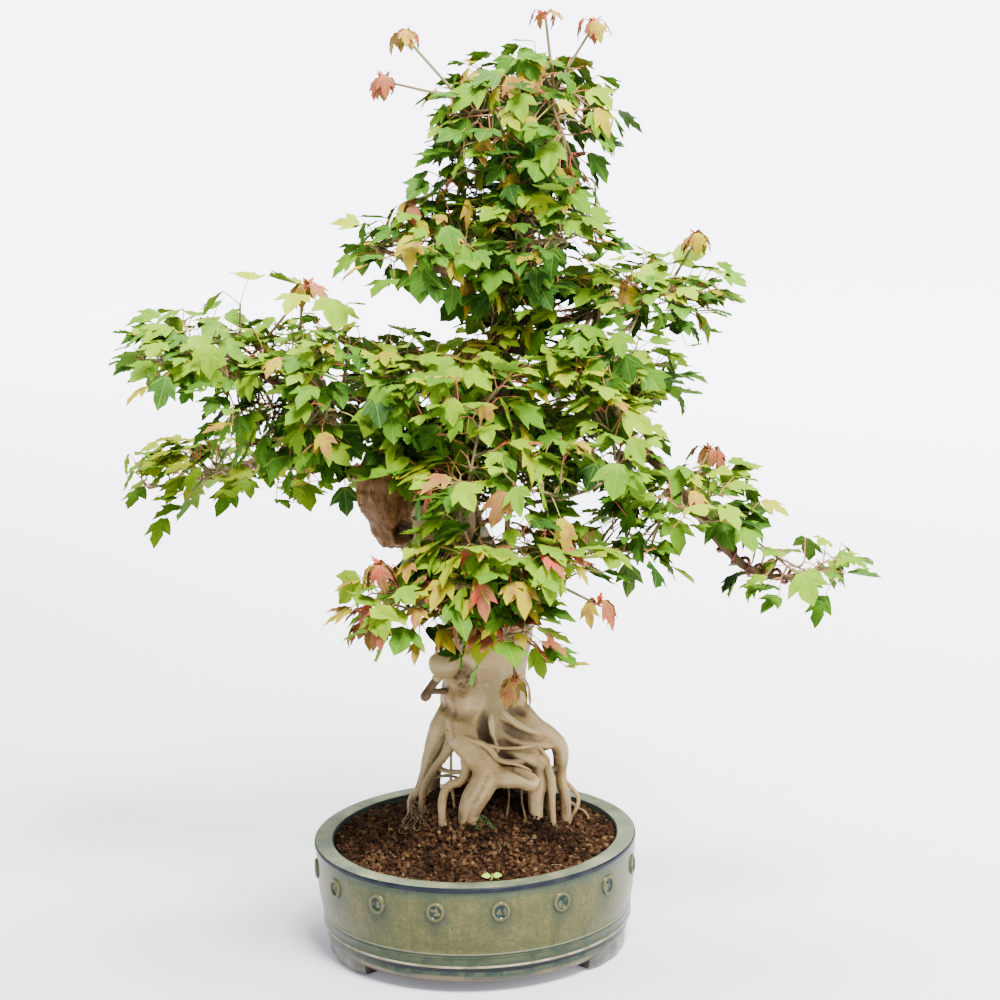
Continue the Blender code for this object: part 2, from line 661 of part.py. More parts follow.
def scatter_points(rng):
    """Shoot ends inside the pads, kept apart and outside the wood's own space."""
    limbs = [spot(r) for r in TRUNK]
    points = [(Vector(p), True) for p in YOUNG] + [(Vector(p), False) for p in REACH]
    for middle, half, count in PADS:
        room = [max(h - m, 8.0) for h, m in zip(half, PAD_MARGIN)]
        placed, tries = 0, 0
        spacing = POINT_SPACING
        while placed < count and tries < 4000:
            tries += 1
            if tries % 400 == 0:
                spacing *= 0.9
            way = unit([rng.gauss(0.0, 1.0) for _ in range(3)])
            if way.z < -0.5:
                way.z = -way.z
            depth = 1.0 - 0.55 * rng.random() ** 1.6
            point = Vector([c + w * r * depth for c, w, r in zip(middle, way, room)])
            if any((point - p).length < spacing for p, _ in points):
                continue
            if any((point - p).length < TRUNK_CLEAR for p in limbs):
                continue
            points.append((point, False))
            placed += 1
    return points


def grow_shoots(seats, points, guards):
    """Join every point to the nearest free shoot, so that short twigs feed longer ones."""
    nodes = []
    for i, (place, way, radius) in enumerate(seats):
        joint = place + way * (radius + SEAT_REACH)
        nodes.append({"at": joint, "way": way, "from": None, "path": 0.0,
                      "spray": i, "seat": (place, way, radius), "young": False, "taken": [-way]})
    left = list(range(len(points)))
    banned = set()
    while left:
        best = None
        for p in left:
            at, young = points[p]
            for n, node in enumerate(nodes):
                if node["young"] or (p, n) in banned:
                    continue
                step = at - node["at"]
                length = step.length
                bend = 1.0 - step.dot(node["way"]) / max(length, 1.0)
                cost = length * (1.0 + 0.35 * bend) + 0.45 * node["path"]
                if best is None or cost < best[0]:
                    best = (cost, p, n)
        if best is None or best[0] > LONGEST_WAY:
            break
        _, p, n = best
        node, (at, young) = nodes[n], points[p]
        spray = node["spray"]
        way = unit(at - node["at"])
        twig = tube([node["at"] + way * 1.5, at], [SHOOT_CLEAR, SHOOT_CLEAR], 5)
        if max(way.dot(t) for t in node["taken"]) > CROWDED or guards.hits(twig, spray):
            banned.add((p, n))
            continue
        guards.add(twig, spray)
        node["taken"].append(way)
        nodes.append({"at": at, "way": way, "from": n, "spray": spray,
                      "path": node["path"] + (at - node["at"]).length, "seat": None,
                      "young": young, "taken": [-way]})
        left.remove(p)
    return nodes


def blade_clear(leaf, guards, spray):
    """Whether a leaf is clear of the wood and of other sprays, and its blade of its own spray."""
    if guards.hits(leaf_shape(leaf, **LEAF_ROOM), spray):
        return False
    blade = dict(leaf)
    blade["root"] = leaf["root"] + unit(leaf["base"] - leaf["root"]) * 4.0
    return not guards.hits(leaf_shape(blade, half=BLADE_ROOM), spray, own_too=True)


def pair_leaves(node, index, rng, guards):
    """An opposite pair at a node, each blade turned until it is clear of the others."""
    leaves = []
    way = node["way"]
    side = way.cross(UP)
    side = unit(side) if side.length > 0.2 else Vector((1.0, 0.0, 0.0))
    quarter = math.radians(65.0) * (index % 2)
    for sign in (1.0, -1.0):
        root = node["at"] - way * (3.5 + 0.7 * sign)
        for attempt in range(18):
            turn = quarter + math.radians(rng.uniform(-22, 22) * (1 + 0.2 * attempt))
            out = side * (sign * math.cos(turn)) + way.cross(side) * (sign * math.sin(turn))
            if out.z < -0.2:
                out.z *= 0.3
            stem = unit(unit(out) * 0.8 + way * 0.5 + UP * rng.uniform(0.05, 0.45))
            leaf = aim_leaf(root, stem, rng.uniform(*PETIOLE_LENGTH),
                            math.radians(rng.uniform(8, 62)), math.radians(rng.uniform(-28, 28)),
                            rng.uniform(*LEAF_LENGTH))
            if blade_clear(leaf, guards, node["spray"]):
                guards.add(leaf_shape(leaf, **LEAF_ROOM), node["spray"])
                leaves.append(leaf)
                break
    return leaves


def young_leaves(node, index, rng, guards):
    """Two narrow blades that hang like a half-shut umbrella from a bronze tip."""
    leaves = []
    root = node["at"] + node["way"] * (GAP + 3.4)
    first = rng.uniform(0, 2 * math.pi)
    for i in range(2):
        for _ in range(30):
            turn = first + math.pi * i + rng.uniform(-0.8, 0.8)
            out = Vector((math.cos(turn), math.sin(turn), 0.45))
            leaf = aim_leaf(root, unit(out), rng.uniform(5, 8), math.radians(rng.uniform(45, 74)),
                            math.radians(rng.uniform(-12, 12)), rng.uniform(*YOUNG_LENGTH), True)
            guard = leaf_shape(leaf, **LEAF_ROOM)
            if not guards.hits(guard, f"young {index}"):
                guards.add(guard, f"young {index}")
                leaves.append(leaf)
                break
    return leaves


def plan_foliage():
    """All shoots and leaves: nodes, leaves of each node, in the order that they were placed."""
    rng = random.Random(41)
    guards = wood_guards()
    seats = seat_list()
    nodes = grow_shoots(seats, scatter_points(rng), guards)
    leaves = {}
    for index, node in enumerate(nodes):
        if node["young"]:
            leaves[index] = young_leaves(node, index, rng, guards)
    for index, node in enumerate(nodes):
        if node["seat"] is None and not node["young"]:
            leaves[index] = pair_leaves(node, index, rng, guards)
    return seats, nodes, leaves


def twig_lines(nodes, spray):
    """The shoots of a spray as unbroken lines: each runs on through its first child."""
    lines, following = [], {}
    for i, node in enumerate(nodes):
        if node["spray"] != spray or node["seat"] is not None:
            continue
        parent = node["from"]
        if parent in following:
            following[i] = following.pop(parent)
            following[i].append(i)
        else:
            following[i] = [parent, i]
            lines.append(following[i])
    return lines


def make_sprays(wood, green, bronze):
    """One object for each leafy spray and for each young tip."""
    seats, nodes, leaves = plan_foliage()
    bark = BVHTree.FromPolygons([v.co / MM for v in wood.data.vertices],
                                [tuple(p.vertices) for p in wood.data.polygons])
    made = 0
    for spray in range(len(seats)):
        members = [i for i, n in enumerate(nodes) if n["spray"] == spray and n["seat"] is None]
        if not members:
            continue
        made += 1
        seat = next(n for n in nodes if n["spray"] == spray)
        place, way, _ = seat["seat"]
        hit, normal, _, _ = bark.ray_cast(seat["at"], -way)
        collar = tube([hit + normal * GAP, seat["at"] + way], [1.5, 1.3], 4, start=normal)
        pieces = []
        for line in twig_lines(nodes, spray):
            spots = [nodes[i]["at"] for i in line]
            taper = [TWIG_RADIUS[0] + (TWIG_RADIUS[1] - TWIG_RADIUS[0]) * k / len(line)
                     for k in range(len(line))]
            pieces.append(tube(spots, taper, 3))
        for i in members:
            if not nodes[i]["young"]:
                pieces += [leaf_shape(leaf) for leaf in leaves[i]]
        obj = add_object(f"spray_{made:02d}", collar, green)
        combine(obj, pieces, "UNION", "MANIFOLD")
    young = [i for i, n in enumerate(nodes) if n["young"]]
    for k, i in enumerate(young):
        node = nodes[i]
        way = node["way"]
        stub = tube([node["at"] + way * GAP, node["at"] + way * 6.0], [1.1, 0.9], 4)
        obj = add_object(f"tip_{k + 1:02d}", stub, bronze)
        combine(obj, [leaf_shape(leaf) for leaf in leaves[i]], "UNION", "MANIFOLD")


def centre_on_box():
    """Move everything so that the box of the whole stands centred on the origin."""
    objs = [o for o in bpy.context.scene.objects if o.type == "MESH"]
    spots = [v.co for o in objs for v in o.data.vertices]
    low = [min(p[k] for p in spots) for k in range(3)]
    high = [max(p[k] for p in spots) for k in range(3)]
    shift = Vector((-(low[0] + high[0]) / 2, -(low[1] + high[1]) / 2, -low[2]))
    for obj in objs:
        obj.data.transform(Matrix.Translation(shift))


def main():
    for obj in list(bpy.data.objects):
        bpy.data.objects.remove(obj)
    glaze = material("glaze", (0.36, 0.38, 0.27), 0.3)
    granules = material("soil", (0.16, 0.07, 0.04), 0.95)
    plastic = material("net", (0.03, 0.05, 0.04), 0.5)
    bark = material("bark", (0.48, 0.37, 0.26), 0.8)
    leaf = material("leaf", (0.16, 0.33, 0.07), 0.5)
    bronze = material("young_leaf", (0.42, 0.17, 0.10), 0.5)
    wire = material("wire", (0.14, 0.07, 0.04), 0.35, 0.8)
    seedling = material("seedling", (0.35, 0.6, 0.08), 0.5)

    make_pot(glaze)
    make_soil(granules)
    make_net(plastic)
    make_sprout(seedling)
    wood = make_wood(bark)
    for name, (branch, first, last) in WIRED.items():
        add_object(f"wire_{name}", wire_shape(branch, first, last), wire)
    make_sprays(wood, leaf, bronze)
    centre_on_box()


main()
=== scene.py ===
"""Looks of a trident maple bonsai in a round glazed pot, built round its fixed frame.

Tables and growth rules are in millimetres with the pot's axis at X = Y = 0, as the real thing
would be measured. Meshes are in metres, and settle() moves a finished piece to its place.
"""

import math
import random
from contextlib import contextmanager

import bpy
import numpy as np
from mathutils import Matrix, Vector, noise
from mathutils.bvhtree import BVHTree
from mathutils.kdtree import KDTree


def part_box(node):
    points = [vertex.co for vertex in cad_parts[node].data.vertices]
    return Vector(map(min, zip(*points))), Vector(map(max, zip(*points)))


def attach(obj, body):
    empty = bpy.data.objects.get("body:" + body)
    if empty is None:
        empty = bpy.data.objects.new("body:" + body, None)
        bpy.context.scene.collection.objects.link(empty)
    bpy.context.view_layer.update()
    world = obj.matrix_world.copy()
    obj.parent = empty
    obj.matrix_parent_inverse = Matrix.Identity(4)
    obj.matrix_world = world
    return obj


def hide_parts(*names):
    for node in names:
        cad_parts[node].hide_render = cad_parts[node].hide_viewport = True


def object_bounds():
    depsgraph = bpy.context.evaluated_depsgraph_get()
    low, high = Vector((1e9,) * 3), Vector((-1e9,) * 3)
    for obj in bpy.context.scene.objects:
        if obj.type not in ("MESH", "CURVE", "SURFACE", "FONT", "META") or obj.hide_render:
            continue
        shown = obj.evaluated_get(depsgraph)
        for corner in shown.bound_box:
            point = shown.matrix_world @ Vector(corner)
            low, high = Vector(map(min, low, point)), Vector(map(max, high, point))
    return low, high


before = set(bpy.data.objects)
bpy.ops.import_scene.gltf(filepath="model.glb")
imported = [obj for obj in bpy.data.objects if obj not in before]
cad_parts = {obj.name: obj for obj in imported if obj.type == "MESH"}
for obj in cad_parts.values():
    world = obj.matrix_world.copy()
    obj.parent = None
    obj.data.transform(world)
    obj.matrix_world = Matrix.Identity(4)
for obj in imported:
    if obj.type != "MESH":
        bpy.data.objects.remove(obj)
cad_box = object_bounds()

MM = 0.001
UP = Vector((0.0, 0.0, 1.0))
POT_LOW, POT_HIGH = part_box("pot")
HOME = Vector(((POT_LOW.x + POT_HIGH.x) / 2, (POT_LOW.y + POT_HIGH.y) / 2, 0.0))

# The photograph's camera, in metres and degrees
CAMERA_PLACE = Vector((0.0, -2.108, 0.831))
CAMERA_PITCH = 12.475  # down
CAMERA_YAW = 0.762  # to the right
CAMERA_ROLL = 1.64
CAMERA_LENS = 98.55

# Light
SKY = 0.85
GLOW = (5.9, 5.8, 6.7)

# Pot
STUDS = 16
STUD_Z = 70.0
STUD_SEAT = 129.0
STUD_SUNK = 0.6
FIRST_STUD = 8.0
FEET = (-66.0, 64.0, 179.0)
FOOT_SPAN = 34.0
FOOT_INNER = 100.0
FOOT_OUTER = 119.5
FOOT_BULGE = 122.8

# Soil
SOIL_EDGE_Z = 87.0
MOUND_RISE = 41.0
MOUND_RADIUS = 112.0
SPROUT = (12.0, -103.0)
GRANULES = 7000
GRANULE_SIZE = (2.3, 4.3)
MOUND_EDGE = 113.0
MOUND_FOOT = 84.0  # from here up the mound is uneven
WET = (58.0, -27.0)
WET_REACH = 34.0
HEAPS = [((0.0, -50.0), 30.0, 6.5), ((54.0, -30.0), 26.0, 5.5), ((-24.0, -42.0), 20.0, 2.0)]

# Wire
WIRE_RADIUS = 1.5
WIRE_PITCH = 14.0
WIRE_STEPS = 14  # points for each turn

# Leaves and the room that growth keeps round them
GAP = 0.3  # between a tip and the twig that it grows from
LEAF_LENGTH = (34.0, 46.0)
YOUNG_LENGTH = (24.0, 31.0)
PETIOLE_LENGTH = (13.0, 24.0)
BLADE_THICK = 0.8
PETIOLE_HALF = 0.55
BARK_CLEAR = 1.6
WIRE_CLEAR = 2.0
SHOOT_CLEAR = 2.2
TRUNK_CLEAR = 24.0
SEAT_REACH = 6.0
LEAF_ROOM = {"half": 1.3, "stalk": 1.2, "swell": 1.05}
BLADE_ROOM = 0.8
LONGEST_WAY = 150.0
BEND_COST = 0.35
PATH_COST = 0.45
MOST_TRIES = 4000
CLOSER_EVERY = 400  # tries, after which points may stand a tenth closer

# The trunk's axis from the roots to the top: x, y, z, radius
TRUNK = [
    (12, 1, 160, 25), (11, 0, 178, 33), (10, 0, 203, 35), (15, -3, 237, 32), (18, -4, 268, 33),
    (5, -3, 294, 35), (-10, 0, 320, 34), (-21, 2, 346, 35), (-25, 4, 371, 35), (-20, 6, 396, 30),
    (-3, 8, 411, 21), (14, 9, 423, 13), (27, 10, 437, 10), (29, 9, 460, 8.6), (29, 8, 484, 8),
    (33, 7, 506, 8), (37, 6, 529, 8.4), (48, 4, 558, 7), (55, 2, 589, 6.2), (62, 0, 615, 5.4),
    (60, -2, 642, 4.6), (56, -2, 668, 3.6),
]

# Woody branches in the same form, each starting inside what it grows from
BRANCHES = {
    "left_main": [
        (-1, -16, 405, 7), (-18, -31, 419, 5.8), (-29, -35, 440, 5.2), (-49, -28, 452, 4.8),
        (-82, -15, 454, 4.4), (-119, -5, 451, 4), (-145, 0, 464, 3.4), (-170, 5, 481, 3),
        (-199, 10, 490, 2.4), (-222, 12, 486, 1.9),
    ],
    "left_back": [
        (-28, 18, 364, 7), (-54, 60, 366, 5), (-94, 95, 373, 4.4), (-145, 115, 376, 3.8),
        (-199, 122, 371, 3), (-240, 125, 361, 2),
    ],
    "tier2_left": [(36, 4, 525, 6), (16, -14, 536, 4.6), (-9, -24, 550, 4), (-40, -28, 562, 3.2),
                   (-60, -26, 570, 2.2)],
    "tier2_right": [(41, 3, 542, 5.4), (60, -18, 554, 4.2), (80, -30, 567, 3)],
    "tier2_back": [(42, 8, 540, 5), (36, 45, 545, 4), (20, 80, 550, 3)],
    "tier3_right": [(34, 5, 509, 6), (64, 12, 504, 5), (99, 20, 505, 4.2), (135, 25, 516, 3.4),
                    (162, 25, 527, 2.6)],
    "right_main": [
        (31, 4, 488, 7), (50, -10, 487, 6), (71, -18, 481, 5.6), (90, -25, 459, 5.2),
        (114, -32, 431, 4.8), (144, -38, 404, 4.4), (174, -42, 368, 4), (200, -44, 332, 3.6),
        (219, -44, 314, 3.2), (247, -42, 305, 2.6), (271, -40, 309, 2.2),
    ],
    "right_back": [(26, 12, 443, 7), (55, 50, 444, 4.8), (89, 85, 441, 4), (125, 108, 439, 3)],
    "front_low": [(-5, -24, 322, 9), (1, -60, 338, 6.4), (12, -84, 346, 5), (40, -97, 335, 3.8),
                  (68, -100, 320, 2.8)],
    "front_left": [(6, -74, 343, 5), (-10, -96, 328, 3.8), (-33, -104, 312, 2.8)],
    "front_down": [(20, -90, 342, 4.4), (30, -92, 312, 3.4), (33, -88, 285, 2.6)],
    "front_up": [(5, -72, 343, 5), (10, -90, 371, 4), (5, -92, 395, 3)],
    "front_right": [(11, -90, 366, 4), (42, -88, 379, 3.4), (72, -85, 383, 2.6)],
    "centre_front": [(29, 8, 466, 5), (30, -34, 467, 4), (22, -60, 458, 3.2), (4, -76, 454, 2.4)],
    "apex_left": [(61, 0, 612, 4.6), (39, -16, 618, 3.6), (14, -24, 626, 2.6)],
    "apex_right": [(62, -1, 627, 4.2), (80, -14, 632, 3.2), (100, -20, 637, 2.2)],
    "apex_back": [(61, 0, 619, 4.2), (54, 32, 624, 3.2), (44, 58, 630, 2.2)],
    "crown_left": [(59, -2, 655, 3.6), (36, -12, 667, 3), (12, -16, 678, 2.2)],
    "crown_right": [(57, -2, 660, 3.4), (74, -8, 680, 2.4)],
}

# Surface roots in the same form: all but the arm and the runners end upright in the soil
ROOTS = {
    "left": [(-9, -6, 196, 16), (-20, -10, 186, 12), (-28, -10, 172, 9.2), (-34, -9, 158, 6.2),
             (-39, -5, 141, 4.8), (-44, -2, 128, 4.2), (-50, -1, 119, 3.8), (-50, -1, 98, 3.6)],
    "thin_left": [(-12, -20, 182, 8), (-21, -24, 165, 4), (-32, -18, 149, 3.2), (-39.5, -12, 132, 3),
                  (-42, -10, 119, 2.8), (-42, -10, 100, 2.8)],
    "kinked": [(1, -20, 178, 9), (-5, -30, 161, 4.6), (-6, -33, 152, 4), (-10, -35, 145, 3.8),
               (-19.5, -37, 142, 3.6), (-24, -38, 135, 3.4), (-25.5, -40, 124, 3.2),
               (-25.5, -40, 98, 3)],
    "front": [(-4, -10, 196, 17), (-6, -24, 182, 14.5), (2, -32, 168, 13), (12, -37, 154, 12),
              (6, -42, 142, 11), (-1, -44, 130, 10), (-4, -44, 121, 9), (-4, -44, 98, 8.4)],
    "front_arm": [(12, -36, 152, 11), (24, -40, 149, 8.8), (36.5, -41, 148, 8.2), (45, -40, 144, 7.6),
                  (49, -39, 141, 6)],
    "right_block": [(12, -16, 160, 11), (28, -22, 157, 12), (44, -20, 155, 12), (56, -15, 149, 9.5)],
    "block_leg": [(46, -20, 152, 10), (51, -22, 137, 8), (49.5, -24, 126, 6.4), (49.3, -25, 114, 5.6),
                  (49.3, -25, 96, 5.4)],
    "right_leg": [(53, -14, 150, 9), (59, -14, 142, 6.5), (61.4, -15, 134, 5), (61, -16, 120, 4.4),
                  (61, -16, 92, 4.2)],
    "right_second": [(34, -4, 172, 14), (47, 2, 152, 9.5), (55, 9, 135, 7.6), (60, 15, 121, 6.4),
                     (61, 18, 108, 5.8), (61, 18, 92, 5.4)],
    "right_upper": [(22, -4, 200, 17), (38, -9, 190, 11.5), (50, -12, 181, 8.8), (62, -11, 172, 7.8),
                    (70, -9, 162, 7), (71, -7, 152, 6.6), (70, -4, 142, 5.6), (70.5, -2, 134, 5.2),
                    (73.5, 0, 119, 4.8), (74, 2, 105, 4.6), (74, 2, 90, 4.4)],
    "right_ridge": [(20, -25, 186, 7), (32.5, -24, 178, 6.2), (47, -21, 172, 5.6), (62, -13, 166, 5)],
    "back_left": [(-16, 4, 188, 15), (-34, 20, 168, 9), (-45, 33, 146, 6.5), (-49, 40, 124, 5.5),
                  (-49, 40, 98, 5)],
    "back_right": [(24, 12, 188, 19), (40, 32, 160, 11), (50, 44, 138, 8), (53, 48, 118, 7),
                   (53, 48, 96, 6.4)],
    "back_middle": [(8, 14, 184, 20), (5, 36, 158, 12), (2, 47, 140, 8.4), (0, 51, 122, 7.2),
                    (0, 51, 98, 6.6)],
    "runner": [(-19, -27, 184, 3), (-4.7, -38.5, 182, 2.4), (12, -44, 175.5, 2.2), (21, -42, 164, 2.2),
               (40, -30, 158, 2.4)],
    "window": [(-32, -14, 152, 2.2), (-20, -24, 150, 1.9), (-4, -33, 152, 2.2)],
}

# The old rugged stub on the trunk's left, its rings as x, y, z, radius from the top down
STUB = [(-38, 2, 412, 15), (-51, 0, 399, 23), (-58, -2, 382, 27.5), (-56, -3, 362, 26.5),
        (-56, -4, 349, 22), (-60, -4, 338, 17), (-62, -4, 331, 9)]
KNOB = [(0, -9, 238, 12.5), (-8, -11, 237, 10.5), (-15, -13, 236.5, 9)]
# The room that leaves keep clear round the knob, its horn and the crook between them
KNOB_ROOM = [(0, -9, 238, 12.5), (-10, -11, 236.5, 13.5), (-20, -12, 235, 12.6), (-28, -12, 234, 8.5),
             (-32, -12, 234, 3)]
HORN_ROOM = [(-14, -10, 208, 8), (-24, -13, 214, 4.2), (-30, -15, 216, 3.8), (-35.4, -16, 210.3, 4.2)]
CROOK_ROOM = [(-20, -12, 230, 6), (-26, -13.5, 223.5, 3.8), (-30.5, -15, 217.5, 3.6)]

# Where leafy sprays leave a branch before its end: share of its length and degrees from straight up
SEATS = {
    "left_main": [(0.30, 50), (0.45, -60), (0.78, 40), (0.91, -70)],
    "left_back": [(0.48, 50), (0.74, -50)], "tier2_left": [(0.55, 40)],
    "tier3_right": [(0.42, -60), (0.72, 50)],
    "right_main": [(0.20, 30), (0.38, -70), (0.52, 60), (0.60, -50), (0.70, 70)],
    "right_back": [(0.62, -40)], "front_low": [(0.66, 30)], "front_up": [(0.60, 50)],
    "centre_front": [(0.62, -50)],
}
WIRED = {"left": ("left_main", 0.50, 0.73), "back": ("left_back", 0.16, 0.42),
         "right": ("right_main", 0.75, 0.96)}

# Foliage pads: centre, half sizes, and how many leaf pairs each carries
PADS = [
    ((58, 0, 664), (72, 62, 50), 11), ((-18, -10, 566), (68, 62, 32), 7),
    ((64, -12, 578), (52, 58, 34), 5), ((28, 78, 552), (62, 44, 30), 4),
    ((142, 18, 512), (72, 58, 38), 8), ((-98, -4, 464), (104, 88, 48), 11),
    ((-205, 8, 484), (58, 54, 32), 6), ((2, -46, 456), (60, 66, 38), 5),
    ((-182, 112, 366), (108, 52, 34), 8), ((27, -88, 392), (76, 46, 38), 5),
    ((24, -96, 330), (84, 44, 40), 6), ((-46, -98, 304), (48, 38, 30), 3),
    ((32, -92, 274), (42, 38, 30), 2), ((112, 92, 440), (76, 54, 36), 6),
    ((104, -34, 402), (68, 66, 36), 5), ((170, -40, 360), (64, 56, 38), 6),
    ((112, -58, 332), (48, 46, 26), 2), ((252, -40, 308), (56, 36, 20), 2),
    ((-30, 82, 442), (72, 50, 34), 4),
]
APEX_PAD = 0
FRONT_LOW_PADS = (9, 10, 11, 12)  # those in front of the trunk, with the most bronze leaves
PAD_MARGIN = (22.0, 22.0, 15.0)  # what leaves reach past their shoots
POINT_SPACING = 25.0
CROWDED = 0.88  # cosine of the least angle between shoots at a fork
REACH = [(-232, 8, 482), (-262, 126, 356), (292, -39, 303), (268, -34, 306)]
YOUNG = [(-33, 0, 726), (-49, -5, 694), (73, -5, 738), (108, -8, 730), (86, -28, 622),
         (-31, -22, 602), (-118, -6, 536), (186, 18, 562), (192, 0, 396), (-64, -112, 338),
         (-72, -104, 296), (96, -98, 304), (34, -100, 246)]

OUTLINE = [(-0.60, 0.38), (-0.24, 0.50), (0.0, 1.0), (0.24, 0.50), (0.60, 0.38)]
NARROW = 0.62  # a young blade's width as a share of a grown one's
BLADE_SPINE = (0, 6, 3)
BLADE_FANS = [(0, 2, 1), (0, 3, 2), BLADE_SPINE, (6, 4, 3), (6, 5, 4)]


# Growth rules, as the solids were grown

def unit(v):
    return Vector(v).normalized()


def spot(row):
    return Vector(row[:3])


def tube(points, radii, sides):
    """Closed tube through points, as its points and faces."""
    pts = [Vector(p) for p in points]
    last = len(pts) - 1
    verts, faces = [], []
    across = None
    for i, p in enumerate(pts):
        along = (pts[min(i + 1, last)] - pts[max(i - 1, 0)]).normalized()
        if across is None:
            across = along.orthogonal()
        across = (across - along * across.dot(along)).normalized()
        third = along.cross(across)
        for k in range(sides):
            turn = 2.0 * math.pi * k / sides
            verts.append(p + (across * math.cos(turn) + third * math.sin(turn)) * radii[i])
    for i in range(last):
        for k in range(sides):
            a, b = i * sides + k, i * sides + (k + 1) % sides
            faces.append((a, b, b + sides, a + sides))
    faces.append(tuple(range(sides - 1, -1, -1)))
    faces.append(tuple(range(last * sides, last * sides + sides)))
    return verts, faces


def limb(rows, sides, grow=0.0):
    return tube([spot(r) for r in rows], [r[3] + grow for r in rows], sides)


def route(rows, share):
    """Point, direction and radius at a share of a limb's length."""
    lengths = [(spot(b) - spot(a)).length for a, b in zip(rows, rows[1:])]
    left = share * sum(lengths)
    for (a, b), length in zip(zip(rows, rows[1:]), lengths):
        if left <= length:
            t = left / length
            return spot(a).lerp(spot(b), t), unit(spot(b) - spot(a)), a[3] + (b[3] - a[3]) * t
        left -= length
    return spot(rows[-1]), unit(spot(rows[-1]) - spot(rows[-2])), rows[-1][3]


def blade_offset(u, v, length):
    """How far the blade's surface bends down at a point of its outline."""
    return -length * (0.10 * v * v + 0.22 * abs(u) ** 1.5)


def leaf_shape(leaf, half=BLADE_THICK / 2, stalk=PETIOLE_HALF, swell=1.0):
    """A three-lobed blade of even thickness and its three-sided petiole, as one closed shape."""
    base, along, flat = leaf["base"], leaf["along"], leaf["flat"]
    right = along.cross(flat)
    length = leaf["length"] * swell
    wide = NARROW if leaf["young"] else 1.0
    rise = unit(right.cross(base - leaf["root"]))
    ring = unit(flat + rise)
    ring *= max(half, stalk) / max(ring.dot(flat), 0.5)
    rim = []
    for u, v in OUTLINE:
        u *= wide
        rim.append(base + right * (u * length) + along * (v * length)
                   + flat * blade_offset(u, v, length))
    verts = [base - right * stalk + ring, *[p + flat * half for p in rim],
             base + right * stalk + ring, base - ring, *[p - flat * half for p in rim]]
    verts += [leaf["root"] - right * stalk + rise * stalk * 0.6,
              leaf["root"] + right * stalk + rise * stalk * 0.6, leaf["root"] - rise * stalk]
    left, far, under, stem = 0, len(rim) + 1, len(rim) + 2, 2 * len(rim) + 3
    top = [left, *range(1, far), far]
    low = [under, *range(under + 1, stem), under]
    faces = [tuple(top[k] for k in fan) for fan in BLADE_FANS]
    faces += [tuple(low[k] for k in reversed(fan)) for fan in BLADE_FANS if fan != BLADE_SPINE]
    for i in range(len(top) - 1):
        faces.append((top[i], top[i + 1], low[i + 1]))
        faces.append((top[i], low[i + 1], low[i]))
    faces += [(stem, stem + 1, far, left), (stem, left, under, stem + 2),
              (stem + 1, stem + 2, under, far), (stem, stem + 2, stem + 1)]
    return verts, faces


def aim_leaf(root, stem, reach, droop, twist, length, young=False):
    """A leaf on a petiole from root along stem; its blade falls away from the petiole's end."""
    base = root + stem * reach
    level = Vector((stem.x, stem.y, 0.0))
    level = unit(level) if level.length > 0.05 else Vector((0.0, -1.0, 0.0))
    along = level * math.cos(droop) - UP * math.sin(droop)
    flat = UP * math.cos(droop) + level * math.sin(droop)
    flat.rotate(Matrix.Rotation(twist, 3, along))
    return {"root": root, "base": base, "along": along, "flat": flat, "length": length,
            "young": young}


def tree_of(shape):
    verts, faces = shape
    return BVHTree.FromPolygons([tuple(v) for v in verts], faces)


def extent(shape):
    """A shape's middle, and how far it reaches from there."""
    spots = [Vector(v) for v in shape[0]]
    middle = sum(spots, Vector()) / len(spots)
    return middle, max((p - middle).length for p in spots)


class Guards:
    """Shapes already in place, each with the spray that it belongs to."""

    def __init__(self):
        self.items = []

    def add(self, shape, owner):
        self.items.append((tree_of(shape), *extent(shape), owner))

    def hits(self, shape, owner, own_too=False):
        middle, size = extent(shape)
        tree = tree_of(shape)
        for other, place, reach, name in self.items:
            if name == owner and not own_too:
                continue
            if (place - middle).length < reach + size and other.overlap(tree):
                return True
        return False


def all_limbs():
    """Rows of everything woody that leaves keep clear of."""
    return [TRUNK, STUB, KNOB_ROOM, HORN_ROOM, CROOK_ROOM, *BRANCHES.values(), *ROOTS.values()]


def wood_guards():
    guards = Guards()
    for rows in all_limbs():
        for a, b in zip(rows, rows[1:]):
            guards.add(limb([a, b], 8, grow=BARK_CLEAR), "wood")
    for branch, first, last in WIRED.values():
        stretch = []
        for i in range(5):
            place, _, radius = route(BRANCHES[branch], first + (last - first) * i / 4)
            stretch.append((*place, radius + 2 * WIRE_RADIUS + WIRE_CLEAR))
        guards.add(limb(stretch, 8), "wood")
    return guards


def seat_list():
    """Every place where a spray leaves the wood: point on the axis, direction and radius."""
    seats = []
    for name, rows in [*BRANCHES.items(), ("trunk", TRUNK)]:
        for share, degrees in SEATS.get(name, ()):
            place, along, radius = route(rows, share)
            side = unit(along.cross(UP))
            rise = side.cross(along)
            turn = math.radians(degrees)
            seats.append((place, rise * math.cos(turn) + side * math.sin(turn), radius))
        place, along, radius = route(rows, 1.0)
        seats.append((place, along, 0.0))
    return seats


